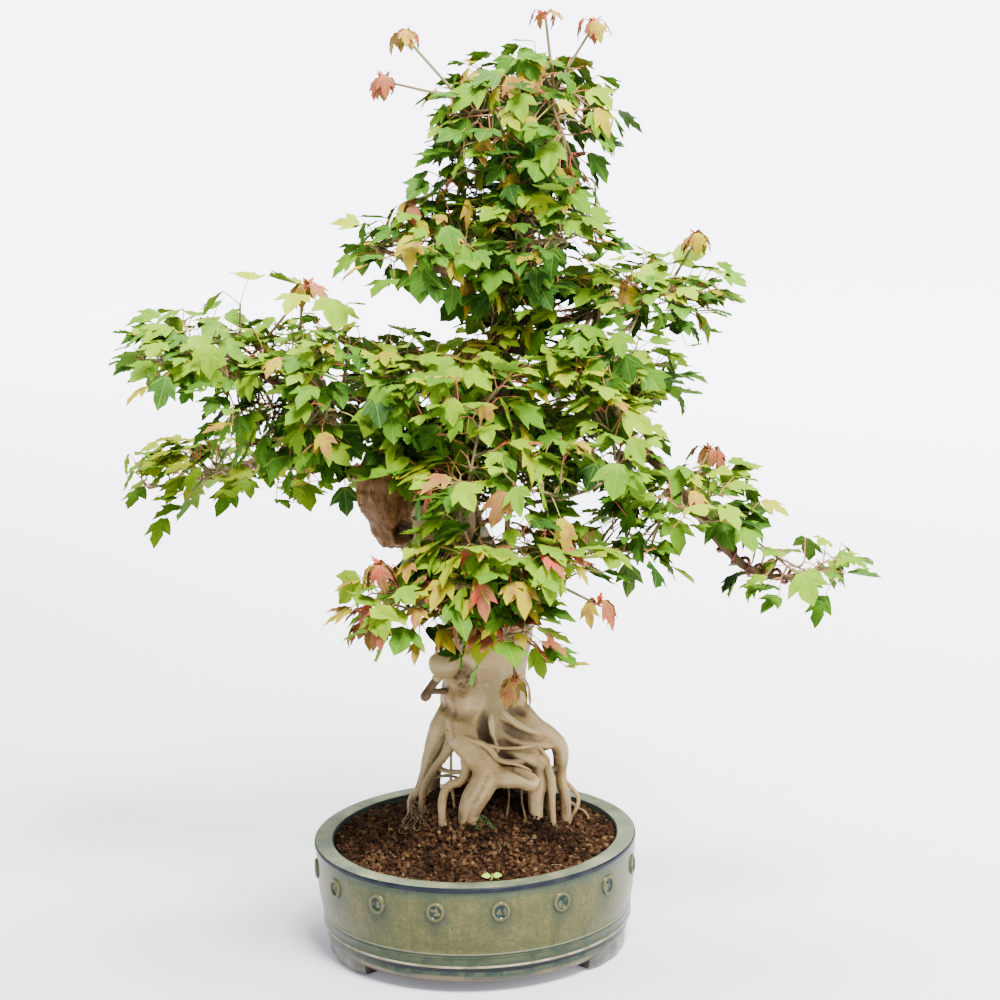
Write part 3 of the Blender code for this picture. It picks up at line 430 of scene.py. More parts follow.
def scatter_points(rng):
    """Shoot ends inside the pads, kept apart and outside the wood's own space."""
    limbs = [spot(r) for r in TRUNK]
    points = [(Vector(p), True) for p in YOUNG] + [(Vector(p), False) for p in REACH]
    for middle, half, count in PADS:
        room = [max(h - m, 8.0) for h, m in zip(half, PAD_MARGIN)]
        placed, tries = 0, 0
        spacing = POINT_SPACING
        while placed < count and tries < MOST_TRIES:
            tries += 1
            if tries % CLOSER_EVERY == 0:
                spacing *= 0.9
            way = unit([rng.gauss(0.0, 1.0) for _ in range(3)])
            if way.z < -0.5:
                way.z = -way.z
            depth = 1.0 - 0.55 * rng.random() ** 1.6
            point = Vector([c + w * r * depth for c, w, r in zip(middle, way, room)])
            if any((point - p).length < spacing for p, _ in points):
                continue
            if any((point - p).length < TRUNK_CLEAR for p in limbs):
                continue
            points.append((point, False))
            placed += 1
    return points


def grow_shoots(seats, points, guards):
    """Join every point to the nearest free shoot, so that short twigs feed longer ones."""
    nodes = []
    for i, (place, way, radius) in enumerate(seats):
        joint = place + way * (radius + SEAT_REACH)
        nodes.append({"at": joint, "way": way, "from": None, "path": 0.0,
                      "spray": i, "seat": (place, way, radius), "young": False, "taken": [-way]})
    left = list(range(len(points)))
    banned = set()
    while left:
        best = None
        for p in left:
            at, young = points[p]
            for n, node in enumerate(nodes):
                if node["young"] or (p, n) in banned:
                    continue
                step = at - node["at"]
                length = step.length
                bend = 1.0 - step.dot(node["way"]) / max(length, 1.0)
                cost = length * (1.0 + BEND_COST * bend) + PATH_COST * node["path"]
                if best is None or cost < best[0]:
                    best = (cost, p, n)
        if best is None or best[0] > LONGEST_WAY:
            break
        _, p, n = best
        node, (at, young) = nodes[n], points[p]
        spray = node["spray"]
        way = unit(at - node["at"])
        twig = tube([node["at"] + way * 1.5, at], [SHOOT_CLEAR, SHOOT_CLEAR], 5)
        if max(way.dot(t) for t in node["taken"]) > CROWDED or guards.hits(twig, spray):
            banned.add((p, n))
            continue
        guards.add(twig, spray)
        node["taken"].append(way)
        nodes.append({"at": at, "way": way, "from": n, "spray": spray,
                      "path": node["path"] + (at - node["at"]).length, "seat": None,
                      "young": young, "taken": [-way]})
        left.remove(p)
    return nodes


def blade_clear(leaf, guards, spray):
    """Whether a leaf is clear of the wood and of other sprays, and its blade of its own spray."""
    if guards.hits(leaf_shape(leaf, **LEAF_ROOM), spray):
        return False
    blade = dict(leaf)
    blade["root"] = leaf["root"] + unit(leaf["base"] - leaf["root"]) * 4.0
    return not guards.hits(leaf_shape(blade, half=BLADE_ROOM), spray, own_too=True)


def pair_leaves(node, index, rng, guards):
    """An opposite pair at a node, each blade turned until it is clear of the others."""
    leaves = []
    way = node["way"]
    side = way.cross(UP)
    side = unit(side) if side.length > 0.2 else Vector((1.0, 0.0, 0.0))
    quarter = math.radians(65.0) * (index % 2)
    for sign in (1.0, -1.0):
        root = node["at"] - way * (3.5 + 0.7 * sign)
        for attempt in range(18):
            turn = quarter + math.radians(rng.uniform(-22, 22) * (1 + 0.2 * attempt))
            out = side * (sign * math.cos(turn)) + way.cross(side) * (sign * math.sin(turn))
            if out.z < -0.2:
                out.z *= 0.3
            stem = unit(unit(out) * 0.8 + way * 0.5 + UP * rng.uniform(0.05, 0.45))
            leaf = aim_leaf(root, stem, rng.uniform(*PETIOLE_LENGTH),
                            math.radians(rng.uniform(8, 62)), math.radians(rng.uniform(-28, 28)),
                            rng.uniform(*LEAF_LENGTH))
            if blade_clear(leaf, guards, node["spray"]):
                guards.add(leaf_shape(leaf, **LEAF_ROOM), node["spray"])
                leaves.append(leaf)
                break
    return leaves


def young_leaves(node, index, rng, guards):
    """Two narrow blades that hang like a half-shut umbrella from a bronze tip."""
    leaves = []
    root = node["at"] + node["way"] * (GAP + 3.4)
    first = rng.uniform(0, 2 * math.pi)
    for i in range(2):
        for _ in range(30):
            turn = first + math.pi * i + rng.uniform(-0.8, 0.8)
            out = Vector((math.cos(turn), math.sin(turn), 0.45))
            leaf = aim_leaf(root, unit(out), rng.uniform(5, 8), math.radians(rng.uniform(45, 74)),
                            math.radians(rng.uniform(-12, 12)), rng.uniform(*YOUNG_LENGTH), True)
            guard = leaf_shape(leaf, **LEAF_ROOM)
            if not guards.hits(guard, f"young {index}"):
                guards.add(guard, f"young {index}")
                leaves.append(leaf)
                break
    return leaves


def plan_foliage():
    """All shoots and leaves: nodes in the order that they were placed, and the leaves of each."""
    rng = random.Random(41)
    guards = wood_guards()
    nodes = grow_shoots(seat_list(), scatter_points(rng), guards)
    leaves = {}
    for index, node in enumerate(nodes):
        if node["young"]:
            leaves[index] = young_leaves(node, index, rng, guards)
    for index, node in enumerate(nodes):
        if node["seat"] is None and not node["young"]:
            leaves[index] = pair_leaves(node, index, rng, guards)
    return nodes, leaves


def twig_lines(nodes, spray):
    """The shoots of a spray as unbroken lines: each runs on through its first child."""
    lines, following = [], {}
    for i, node in enumerate(nodes):
        if node["spray"] != spray or node["seat"] is not None:
            continue
        parent = node["from"]
        if parent in following:
            following[i] = following.pop(parent)
            following[i].append(i)
        else:
            following[i] = [parent, i]
            lines.append(following[i])
    return lines


def mound_height(x, y):
    share = min(math.hypot(x, y) / MOUND_RADIUS, 1.0)
    return SOIL_EDGE_Z + MOUND_RISE * (0.5 + 0.5 * math.cos(math.pi * share))


def ground(x, y):
    """The soil's height with its heaps against the roots."""
    heap = 0.0
    for (hx, hy), reach, rise in HEAPS:
        share = min(math.hypot(x - hx, y - hy) / reach, 1.0)
        heap = max(heap, rise * (0.5 + 0.5 * math.cos(math.pi * share)))
    return mound_height(x, y) + heap


def around(degrees, radius, z):
    """A point at an angle from the front, counted to the right."""
    turn = math.radians(degrees)
    return Vector((radius * math.sin(turn), -radius * math.cos(turn), z))


# Modelling tools

def only(obj):
    """Select one object and nothing else."""
    bpy.ops.object.select_all(action="DESELECT")
    obj.select_set(True)
    bpy.context.view_layer.objects.active = obj


@contextmanager
def editing(obj):
    """Edit mode on one object with all of its mesh selected, and back out of it."""
    only(obj)
    bpy.ops.object.mode_set(mode="EDIT")
    bpy.ops.mesh.select_all(action="SELECT")
    yield
    bpy.ops.object.mode_set(mode="OBJECT")


def added(name, data):
    """A new object for a mesh, a curve, a light or a camera."""
    obj = bpy.data.objects.new(name, data)
    bpy.context.scene.collection.objects.link(obj)
    return obj


def set_tones(mesh, tones):
    """Store three shares, and a 1, at each point of a mesh for its finish to read."""
    layer = mesh.attributes.get("tone") or mesh.attributes.new("tone", "FLOAT_COLOR", "POINT")
    layer.data.foreach_set("color", np.asarray(tones, float).ravel())


def tree_through(places):
    """A tree that finds the nearest of some places, by their numbers."""
    tree = KDTree(len(places))
    for k, place in enumerate(places):
        tree.insert(place, k)
    tree.balance()
    return tree


def turned_to(across, along, up, place):
    """The matrix that turns X, Y and Z to three directions and moves the origin to a place."""
    m = Matrix.Identity(4)
    for row in range(3):
        m[row] = across[row], along[row], up[row], place[row]
    return m


def join(objs, name):
    """Join meshes into the first of them."""
    only(objs[0])
    for obj in objs[1:]:
        obj.select_set(True)
    if len(objs) > 1:
        bpy.ops.object.join()
    objs[0].name = objs[0].data.name = name
    return objs[0]


def settle(obj, replaced):
    """Put a finished piece in its place in the frame, with its place in its mesh."""
    obj.data.transform(Matrix.Translation(HOME) @ obj.matrix_world)
    obj.matrix_world = Matrix.Identity(4)
    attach(obj, "root")
    if replaced:
        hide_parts(*replaced)


def stems(name, lines, mat, corners, rounded=True, resolution=4):
    """Closed round stems through lines of (point, radius), all in millimetres."""
    curve = bpy.data.curves.new(name, "CURVE")
    curve.dimensions = "3D"
    curve.bevel_depth = MM
    curve.bevel_resolution = corners
    curve.use_fill_caps = True
    curve.resolution_u = resolution
    for line in lines:
        spline = curve.splines.new("BEZIER" if rounded else "POLY")
        knots = spline.bezier_points if rounded else spline.points
        knots.add(len(line) - 1)
        for knot, (place, radius) in zip(knots, line):
            knot.co = Vector(place) * MM if rounded else (*(Vector(place) * MM), 1.0)
            knot.radius = radius
            if rounded:
                knot.handle_left_type = knot.handle_right_type = "AUTO"
    only(added(name, curve))
    bpy.ops.object.convert(target="MESH")
    obj = bpy.context.view_layer.objects.active
    obj.data.materials.append(mat)
    obj.data.shade_smooth()
    return obj


def lathe(name, profile, segments, mat, closed=True):
    """Turn a profile of (radius, height) in millimetres, by extruding and scaling one ring."""
    radius, z = profile[0]
    bpy.ops.mesh.primitive_circle_add(vertices=segments, radius=radius * MM, location=(0, 0, z * MM),
                                      fill_type="NOTHING")
    obj = bpy.context.object
    obj.name = obj.data.name = name
    bpy.ops.object.transform_apply()
    with editing(obj):
        for next_radius, next_z in profile[1:]:
            bpy.ops.mesh.extrude_region_move(TRANSFORM_OT_translate={"value": (0, 0, (next_z - z) * MM)})
            share = next_radius / radius
            bpy.ops.transform.resize(value=(share, share, 1.0))
            radius, z = next_radius, next_z
        bpy.ops.mesh.select_all(action="SELECT")
        if closed:
            bpy.ops.mesh.remove_doubles(threshold=0.00002)
        bpy.ops.mesh.normals_make_consistent(inside=False)
    obj.data.materials.append(mat)
    return obj


def unpack(model):
    """A model's points, faces, materials and map, ready to be copied."""
    mesh = model.data
    points = np.empty(len(mesh.vertices) * 3)
    mesh.vertices.foreach_get("co", points)
    corners = np.empty(len(mesh.loops), int)
    mesh.loops.foreach_get("vertex_index", corners)
    sizes = np.empty(len(mesh.polygons), int)
    mesh.polygons.foreach_get("loop_total", sizes)
    slots = np.empty(len(mesh.polygons), int)
    mesh.polygons.foreach_get("material_index", slots)
    places = np.zeros(len(mesh.loops) * 2)
    if mesh.uv_layers:
        mesh.uv_layers[0].uv.foreach_get("vector", places)
    return points.reshape(-1, 3), corners, sizes, slots, places


def copies(name, models, wanted):
    """One mesh that holds a copy of a model for each (model number, matrix, tone)."""
    packed = [unpack(model) for model in models]
    points, corners, sizes, slots, maps, tones, first = [], [], [], [], [], [], 0
    for number, matrix, tone in wanted:
        co, loops, totals, mats, uv = packed[number]
        m = np.array(matrix)
        points.append(co @ m[:3, :3].T + m[:3, 3])
        corners.append(loops + first)
        sizes.append(totals)
        slots.append(mats)
        maps.append(uv)
        tones.append(np.tile((*tone, 1.0), (len(co), 1)))
        first += len(co)
    points, corners, sizes = map(np.concatenate, (points, corners, sizes))
    mesh = bpy.data.meshes.new(name)
    mesh.vertices.add(len(points))
    mesh.vertices.foreach_set("co", points.ravel())
    mesh.loops.add(len(corners))
    mesh.loops.foreach_set("vertex_index", corners)
    mesh.polygons.add(len(sizes))
    mesh.polygons.foreach_set("loop_start", np.concatenate(([0], np.cumsum(sizes)[:-1])))
    mesh.polygons.foreach_set("material_index", np.concatenate(slots))
    mesh.polygons.foreach_set("use_smooth", np.ones(len(sizes), bool))
    mesh.update(calc_edges=True)
    mesh.set_sharp_from_angle(angle=math.radians(100))
    mesh.uv_layers.new(name="blade").uv.foreach_set("vector", np.concatenate(maps))
    set_tones(mesh, np.concatenate(tones))
    for mat in models[0].data.materials:
        mesh.materials.append(mat)
    return added(name, mesh)


def discard(objs):
    for obj in objs:
        bpy.data.objects.remove(obj)


# Materials

class Value:
    """A shader socket that takes part in Python sums, each adding its Math node."""

    def __init__(self, finish, socket):
        self.finish, self.socket = finish, socket

    def math(self, operation, *terms):
        return self.finish.node("ShaderNodeMath", {"operation": operation}, terms)

    def __add__(self, other):
        return self.math("ADD", self, other)

    def __radd__(self, other):
        return self.math("ADD", other, self)

    def __sub__(self, other):
        return self.math("SUBTRACT", self, other)

    def __rsub__(self, other):
        return self.math("SUBTRACT", other, self)

    def __mul__(self, other):
        return self.math("MULTIPLY", self, other)

    def __rmul__(self, other):
        return self.math("MULTIPLY", other, self)

    def __truediv__(self, other):
        return self.math("DIVIDE", self, other)

    def __pow__(self, other):
        return self.math("POWER", self, other)

    def __abs__(self):
        return self.math("ABSOLUTE", self)

    def fraction(self):
        return self.math("FRACT", self)

    def larger(self, other):
        return self.math("MAXIMUM", self, other)

    def between(self, low, high):
        """0 up to low, 1 from high on, and smooth between them."""
        return self.finish.node("ShaderNodeMapRange", {"interpolation_type": "SMOOTHSTEP"},
                                {"Value": self, "From Min": low, "From Max": high})


class Finish:
    """A material in the making: its Principled shader and the nodes that feed it."""

    def __init__(self, name, roughness, specular=0.5, coat=0.0, metallic=0.0):
        self.mat = bpy.data.materials.new(name)
        self.mat.use_nodes = True
        self.tree = self.mat.node_tree
        self.shader = self.tree.nodes["Principled BSDF"]
        for socket, value in {"Roughness": roughness, "Specular IOR Level": specular, "Coat Weight": coat,
                              "Coat Roughness": 0.08, "Metallic": metallic}.items():
            self.shader.inputs[socket].default_value = value

    def node(self, kind, settings=None, inputs=(), out=0):
        """Any node: its settings first, then the values or links of its sockets."""
        made = self.tree.nodes.new(kind)
        for key, value in (settings or {}).items():
            if key == "stops":
                for _ in range(len(value) - 2):
                    made.color_ramp.elements.new(0.5)
                for stop, (place, colour) in zip(made.color_ramp.elements, value):
                    stop.position, stop.color = place, (*colour, 1.0)
            else:
                setattr(made, key, value)
        for key, value in inputs.items() if isinstance(inputs, dict) else enumerate(inputs):
            if isinstance(value, Value):
                self.tree.links.new(value.socket, made.inputs[key])
            else:
                made.inputs[key].default_value = value
        return Value(self, made.outputs[out])

    def place(self):
        return self.node("ShaderNodeTexCoord", out="Object")

    def stretched(self, scale, location=(0, 0, 0)):
        return self.node("ShaderNodeMapping", {}, {"Vector": self.place(), "Scale": scale,
                                                   "Location": location})

    def axes(self, vector):
        parts = self.node("ShaderNodeSeparateXYZ", {}, {"Vector": vector})
        outs = parts.socket.node.outputs
        return [Value(self, outs[k]) for k in range(3)]

    def noise(self, scale, detail=2.0, where=None, roughness=0.5):
        return self.node("ShaderNodeTexNoise", {}, {"Vector": where or self.place(), "Scale": scale,
                                                    "Detail": detail, "Roughness": roughness})

    def ramp(self, value, *stops):
        return self.node("ShaderNodeValToRGB", {"stops": stops}, {"Fac": value})

    def mix(self, share, first, second):
        """The first colour where the share is 0, and the second where it is 1."""
        colours = [c if isinstance(c, Value) else (*c, 1.0) for c in (first, second)]
        return self.node("ShaderNodeMix", {"data_type": "RGBA"}, {0: share, 6: colours[0], 7: colours[1]},
                         out=2)

    def layers(self, base, *layers):
        """A base colour under layers, each given as its share and its colour."""
        for share, colour in layers:
            base = self.mix(share, base, colour)
        return base

    def tone(self):
        """The three shares stored with each copy or point."""
        colour = self.node("ShaderNodeAttribute", {"attribute_name": "tone"}, out="Color")
        parts = self.node("ShaderNodeSeparateColor", {}, {"Color": colour})
        return [Value(self, parts.socket.node.outputs[k]) for k in range(3)]

    def stripe(self, value, middle, half):
        """1 on a line of the given half width round a value, and 0 off it."""
        return 1 - abs(value - middle).between(half * 0.5, half)

    def bump(self, height, strength, distance):
        return self.node("ShaderNodeBump", {}, {"Height": height, "Strength": strength,
                                                "Distance": distance})

    def feed(self, **values):
        for socket, value in values.items():
            name = {"colour": "Base Color", "roughness": "Roughness", "normal": "Normal"}[socket]
            self.tree.links.new(value.socket, self.shader.inputs[name])
        return self.mat


def blade_finish(name, under=False):
    """A leaf's face: green by age and by painted shade, bronze when young, with pale veins."""
    f = Finish(name, 0.6 if under else 0.46, specular=0.03 if under else 0.05)
    tint, young, chance = f.tone()
    x, y, _ = f.axes(f.node("ShaderNodeUVMap", {"uv_map": "blade"}))
    u = abs((x - 0.5) / 0.6)
    v = (y - 0.05) / 0.85
    middle = 1 - u.between(0.006, 0.024)
    lobe = 1 - abs(u * 0.70 - (v - 0.02) * 0.714).between(0.006, 0.022)
    rib = abs(((v - u * 0.9) * 7.0).fraction() - 0.5)
    ribs = (1 - rib.between(0.03, 0.12)) * (1 - u.between(0.1, 0.55))
    veins = middle.larger(lobe)
    patches = f.noise(90.0, 3.0)
    # tint carries painted shade as well as age: inner and lower leaves are darker
    age = tint + (patches - 0.5) * 0.3
    green = f.ramp(age, (0.0, (0.012, 0.046, 0.008)), (0.3, (0.050, 0.140, 0.009)),
                   (0.55, (0.112, 0.232, 0.007)), (0.8, (0.172, 0.275, 0.005)),
                   (1.0, (0.270, 0.320, 0.004)))
    bronze = f.ramp(young + (patches - 0.5) * 0.9, (0.10, (0.26, 0.29, 0.006)), (0.36, (0.31, 0.23, 0.008)),
                    (0.54, (0.24, 0.115, 0.034)), (0.74, (0.25, 0.072, 0.042)),
                    (1.0, (0.48, 0.034, 0.020)))
    base = f.mix(young.between(0.1, 0.3), green, bronze)
    base = f.mix((veins * 0.24).larger(ribs * 0.08), base, (0.30, 0.38, 0.04))
    margin = (u + v * 0.35).between(0.62, 0.78) * chance.between(0.55, 0.9)
    base = f.mix(margin * 0.5, base, (0.36, 0.15, 0.03))
    if under:
        base = f.mix(0.30, base, (0.15, 0.25, 0.05))
    height = veins * 0.6 + ribs * 0.3 + f.noise(900.0, 2.0) * 0.5
    return f.feed(colour=base, normal=f.bump(height, 0.35, 0.0006))


def petiole_finish():
    """Leaf stalks, red in some places and yellow-green in others."""
    f = Finish("petiole", 0.45)
    return f.feed(colour=f.ramp(f.noise(26.0, 2.0), (0.32, (0.34, 0.30, 0.06)), (0.5, (0.46, 0.16, 0.06)),
                                (0.66, (0.44, 0.070, 0.035))))


def twig_finish():
    f = Finish("green_twig", 0.6)
    base = f.ramp(f.noise(40.0, 3.0), (0.3, (0.12, 0.13, 0.025)), (0.55, (0.15, 0.10, 0.035)),
                  (0.75, (0.11, 0.055, 0.022)))
    return f.feed(colour=base, normal=f.bump(f.noise(700.0, 3.0), 0.3, 0.0004))


def bark_finish():
    """Pale smooth bark with painted shade in its creases and hollows and painted highlights on its ridges,
    and orange-brown broken bark on the old stub.
    """
    f = Finish("bark", 0.55, specular=0.22)
    hollow, old, damp = f.tone()
    fine = f.noise(420.0, 6.0, roughness=0.65)
    broad = f.noise(32.0, 4.0)
    rings = f.noise(1.0, 5.0, f.stretched((60.0, 60.0, 520.0)))
    skin = f.ramp(broad, (0.25, (0.160, 0.105, 0.042)), (0.45, (0.280, 0.180, 0.073)),
                  (0.62, (0.370, 0.250, 0.118)), (0.8, (0.260, 0.190, 0.085)))
    moist = f.noise(16.0, 3.0, f.stretched((1, 1, 1), (3, 5, 2))).between(0.50, 0.66)
    skin = f.layers(
        skin,
        ((1 - rings.between(0.30, 0.50)) * 0.28, (0.105, 0.065, 0.030)),
        ((1 - fine.between(0.30, 0.46)) * 0.30, (0.085, 0.050, 0.024)),
        (moist * 0.60, (0.120, 0.108, 0.045)))
    cracks = f.node("ShaderNodeTexVoronoi", {"feature": "DISTANCE_TO_EDGE"},
                    {"Vector": f.stretched((90.0, 90.0, 34.0)), "Scale": 1.0})
    rough = f.noise(1.0, 7.0, f.stretched((120.0, 120.0, 60.0)), 0.7)
    plates = f.ramp(rough, (0.28, (0.045, 0.016, 0.004)), (0.44, (0.110, 0.042, 0.009)),
                    (0.58, (0.155, 0.068, 0.016)), (0.74, (0.200, 0.105, 0.034)))
    plates = f.mix((1 - cracks.between(0.01, 0.05)) * 0.35, plates, (0.035, 0.015, 0.007))
    specks = f.noise(520.0, 3.0)
    base = f.layers(
        skin,
        (old, plates),
        (damp * (0.35 + broad * 0.5), (0.150, 0.075, 0.036)),
        ((1 - specks.between(0.36, 0.46)) * (damp * 0.7 + 0.12), (0.045, 0.022, 0.010)),
        # painted highlight: cream on the ridges, where tone 0 is lowest
        ((1 - hollow.between(0.0, 0.20)) * (1 - old) * 0.40, (0.52, 0.40, 0.22)),
        # painted shade: dark brown where tone 0 is high, in hollows, folds, pockets and flute valleys and on
        # undersides
        (hollow.between(0.16, 0.95) * 0.86, (0.052, 0.029, 0.014)))
    height = fine * 0.35 + rings * 0.35 + old * rough * 1.6 + old * cracks.between(0.0, 0.1) * 0.6
    return f.feed(colour=base, normal=f.bump(height, 0.45, 0.0012))


def branch_finish():
    f = Finish("branch_bark", 0.7, specular=0.12)
    fine = f.noise(300.0, 6.0, roughness=0.7)
    base = f.ramp(f.noise(30.0, 3.0), (0.3, (0.050, 0.028, 0.012)), (0.5, (0.095, 0.056, 0.025)),
                  (0.72, (0.14, 0.095, 0.050)))
    base = f.mix((1 - fine.between(0.34, 0.5)) * 0.6, base, (0.035, 0.018, 0.009))
    return f.feed(colour=base, normal=f.bump(fine, 0.6, 0.001))


def wire_finish():
    f = Finish("brown_wire", 0.34, metallic=0.75)
    worn = f.noise(160.0, 4.0)
    base = f.ramp(worn, (0.3, (0.07, 0.022, 0.016)), (0.6, (0.15, 0.05, 0.035)), (0.8, (0.30, 0.13, 0.09)))
    return f.feed(colour=base, roughness=worn * 0.4 + 0.18)


# Where the glaze changes on its way down the pot, as heights in metres
SHOULDER = (0.0770, 0.0850)
RIM_EDGE = (0.0890, 0.0896)
SKIRT_EDGE = (0.0336, 0.0342)
# Painted highlight on the skirt's ridge and painted shade in its grooves, as lines round the skirt: height,
# half width, share and colour
SKIRT_HIGHLIGHT_AND_SHADE_LINES = [(0.0342, 0.0007, 0.7, (0.16, 0.16, 0.10)), (0.0329, 0.0007, 0.85, (0.010, 0.016, 0.013)),
               (0.0308, 0.0006, 0.7, (0.014, 0.022, 0.016))]


def glaze_finish():
    """Olive celadon that pools teal in hollows and breaks pale on edges, dark below the ledge, with painted
    highlights on the skirt's ridge and ledge and painted shade in the skirt's grooves.
    """
    f = Finish("glaze", 0.32, specular=0.2, coat=0.06)
    hollow, edge, bare = f.tone()
    _, _, z = f.axes(f.place())
    mottle = f.noise(75.0, 5.0, roughness=0.6)
    runs = f.noise(1.0, 5.0, f.stretched((210.0, 210.0, 16.0)), 0.6)
    clouds = f.noise(30.0, 3.0)
    specks = f.noise(520.0, 2.0)
    wave = z + (f.noise(28.0, 2.0) - 0.5) * 0.004
    grains = f.noise(300.0, 4.0, roughness=0.7)
    body = f.ramp(mottle, (0.30, (0.050, 0.056, 0.015)), (0.48, (0.072, 0.070, 0.021)),
                  (0.62, (0.092, 0.084, 0.027)), (0.78, (0.068, 0.080, 0.027)))
    rim = f.ramp(f.noise(46.0, 4.0), (0.3, (0.085, 0.115, 0.075)), (0.5, (0.17, 0.195, 0.120)),
                 (0.7, (0.28, 0.285, 0.170)))
    rim = f.mix(grains.between(0.46, 0.60) * 0.40, rim, (0.085, 0.105, 0.058))
    skirt = f.mix(mottle.between(0.35, 0.65), (0.020, 0.034, 0.017), (0.052, 0.062, 0.030))
    drops = (1 - z.between(0.0250, 0.0290)) * mottle.between(0.46, 0.56)
    pale = f.mix(mottle.between(0.4, 0.6), (0.15, 0.13, 0.075), (0.30, 0.27, 0.18))
    ring = f.mix(mottle.between(0.4, 0.6), (0.012, 0.030, 0.024), (0.050, 0.062, 0.034))
    worn = f.mix(clouds.between(0.4, 0.6), (0.13, 0.105, 0.055), (0.050, 0.060, 0.042))
    clay = f.mix(mottle, (0.050, 0.030, 0.024), (0.11, 0.080, 0.065))
    body = f.layers(
        body,
        (grains.between(0.46, 0.58) * 0.50, (0.032, 0.040, 0.013)),
        ((1 - grains.between(0.34, 0.42)) * 0.40, (0.150, 0.135, 0.055)),
        (runs.between(0.48, 0.64) * 0.30, (0.026, 0.036, 0.014)),
        (clouds.between(0.55, 0.75) * 0.30, (0.036, 0.056, 0.028)),
        (wave.between(*SHOULDER) * 0.65, (0.014, 0.040, 0.032)),
        (z.between(*RIM_EDGE), rim),
        (1 - z.between(*SKIRT_EDGE), skirt),
        # painted highlight on the skirt's ridge and painted shade in its grooves
        *((f.stripe(z, height, half) * share, colour) for height, half, share, colour in SKIRT_HIGHLIGHT_AND_SHADE_LINES),
        (drops * 0.8, (0.012, 0.026, 0.016)),
        # painted highlight along the ledge's outer edge
        (f.stripe(z, 0.0236, 0.0011), pale),
        (1 - z.between(0.0218, 0.0228), (0.004, 0.006, 0.012)),
        (1 - wave.between(0.0182, 0.0198), ring),
        (1 - wave.between(0.0142, 0.0160), worn),
        (1 - wave.between(0.0108, 0.0122), clay),
        (hollow, (0.003, 0.015, 0.018)),
        (edge, (0.15, 0.135, 0.070)),
        ((1 - specks.between(0.30, 0.36)) * 0.6, (0.018, 0.014, 0.008)),
        (bare, f.mix(mottle, (0.022, 0.010, 0.007), (0.060, 0.028, 0.017))))
    height = mottle * 0.5 + specks * 0.2
    return f.feed(colour=body, roughness=bare * 0.5 + 0.22 + mottle * 0.16,
                  normal=f.bump(height, 0.12, 0.0008))


def lip_finish():
    """The dark line of glaze round the lip, worn pale in places."""
    f = Finish("lip_glaze", 0.35, specular=0.12)
    runs = f.noise(60.0, 4.0)
    base = f.ramp(runs, (0.3, (0.005, 0.007, 0.015)), (0.5, (0.010, 0.012, 0.020)),
                  (0.66, (0.024, 0.024, 0.028)), (0.8, (0.08, 0.065, 0.05)))
    return f.feed(colour=base, normal=f.bump(runs, 0.1, 0.0006))


def foot_finish():
    """Pale blue-grey glaze clouded with brown on the feet, and bare clay on their inside."""
    f = Finish("foot_glaze", 0.35, coat=0.2)
    _, _, bare = f.tone()
    clouds = f.noise(60.0, 4.0, roughness=0.6)
    base = f.ramp(clouds, (0.34, (0.012, 0.007, 0.005)), (0.46, (0.032, 0.027, 0.018)),
                  (0.58, (0.050, 0.060, 0.050)), (0.75, (0.085, 0.098, 0.082)))
    base = f.mix(bare, base, f.mix(clouds, (0.030, 0.012, 0.007), (0.095, 0.040, 0.022)))
    return f.feed(colour=base, roughness=bare * 0.4 + 0.3, normal=f.bump(clouds, 0.2, 0.0008))


def granule_finish():
    f = Finish("clay_granules", 0.92, specular=0.06)
    hue, pale, _ = f.tone()
    grain = f.noise(900.0, 4.0, roughness=0.7)
    base = f.ramp(hue, (0.0, (0.007, 0.0035, 0.0020)), (0.35, (0.026, 0.0120, 0.0060)),
                  (0.7, (0.060, 0.029, 0.0135)), (1.0, (0.115, 0.062, 0.030)))
    base = f.mix(pale, base, (0.20, 0.125, 0.052))
    base = f.mix((1 - grain.between(0.3, 0.5)) * 0.5, base, (0.012, 0.006, 0.003))
    return f.feed(colour=base, normal=f.bump(grain, 0.7, 0.0007))


def plain_finish(name, low, high, scale, roughness=0.6):
    """Two colours mottled by noise."""
    f = Finish(name, roughness, specular=0.3)
    mottle = f.noise(scale, 4.0)
    return f.feed(colour=f.ramp(mottle, (0.32, low), (0.68, high)),
                  normal=f.bump(f.noise(scale * 6.0, 3.0), 0.3, 0.0005))


# Leaves

# Half a leaf's edge from its base to its tip: deeply lobed, shallowly lobed and almost plain
DEEP_HALF = [(0.0, 0.0), (0.15, 0.01), (0.30, 0.11), (0.43, 0.26), (0.53, 0.42), (0.60, 0.62),
             (0.42, 0.55), (0.24, 0.49), (0.28, 0.60), (0.24, 0.72), (0.13, 0.88), (0.0, 1.0)]
SHALLOW_HALF = [(0.0, 0.0), (0.14, 0.04), (0.28, 0.17), (0.38, 0.32), (0.45, 0.47), (0.51, 0.65),
                (0.37, 0.59), (0.24, 0.55), (0.26, 0.65), (0.21, 0.77), (0.11, 0.90), (0.0, 1.0)]
PLAIN_HALF = [(0.0, 0.0), (0.18, 0.06), (0.32, 0.20), (0.38, 0.33), (0.39, 0.44), (0.38, 0.55),
              (0.33, 0.62), (0.28, 0.68), (0.24, 0.73), (0.18, 0.81), (0.09, 0.93), (0.0, 1.0)]
SIDE_TIP = 5  # the side lobe's tip, counted along half an edge
HEART = (0.0, 0.26)
MID_RING = 0.55  # how far out from its heart a leaf's inner ring of points lies
TOOTH = 0.035  # how far every second point of the edge stands out
RIPPLE = 0.020
BLADE_SWELL = 0.0055  # half a unit leaf's thickness inside its edge
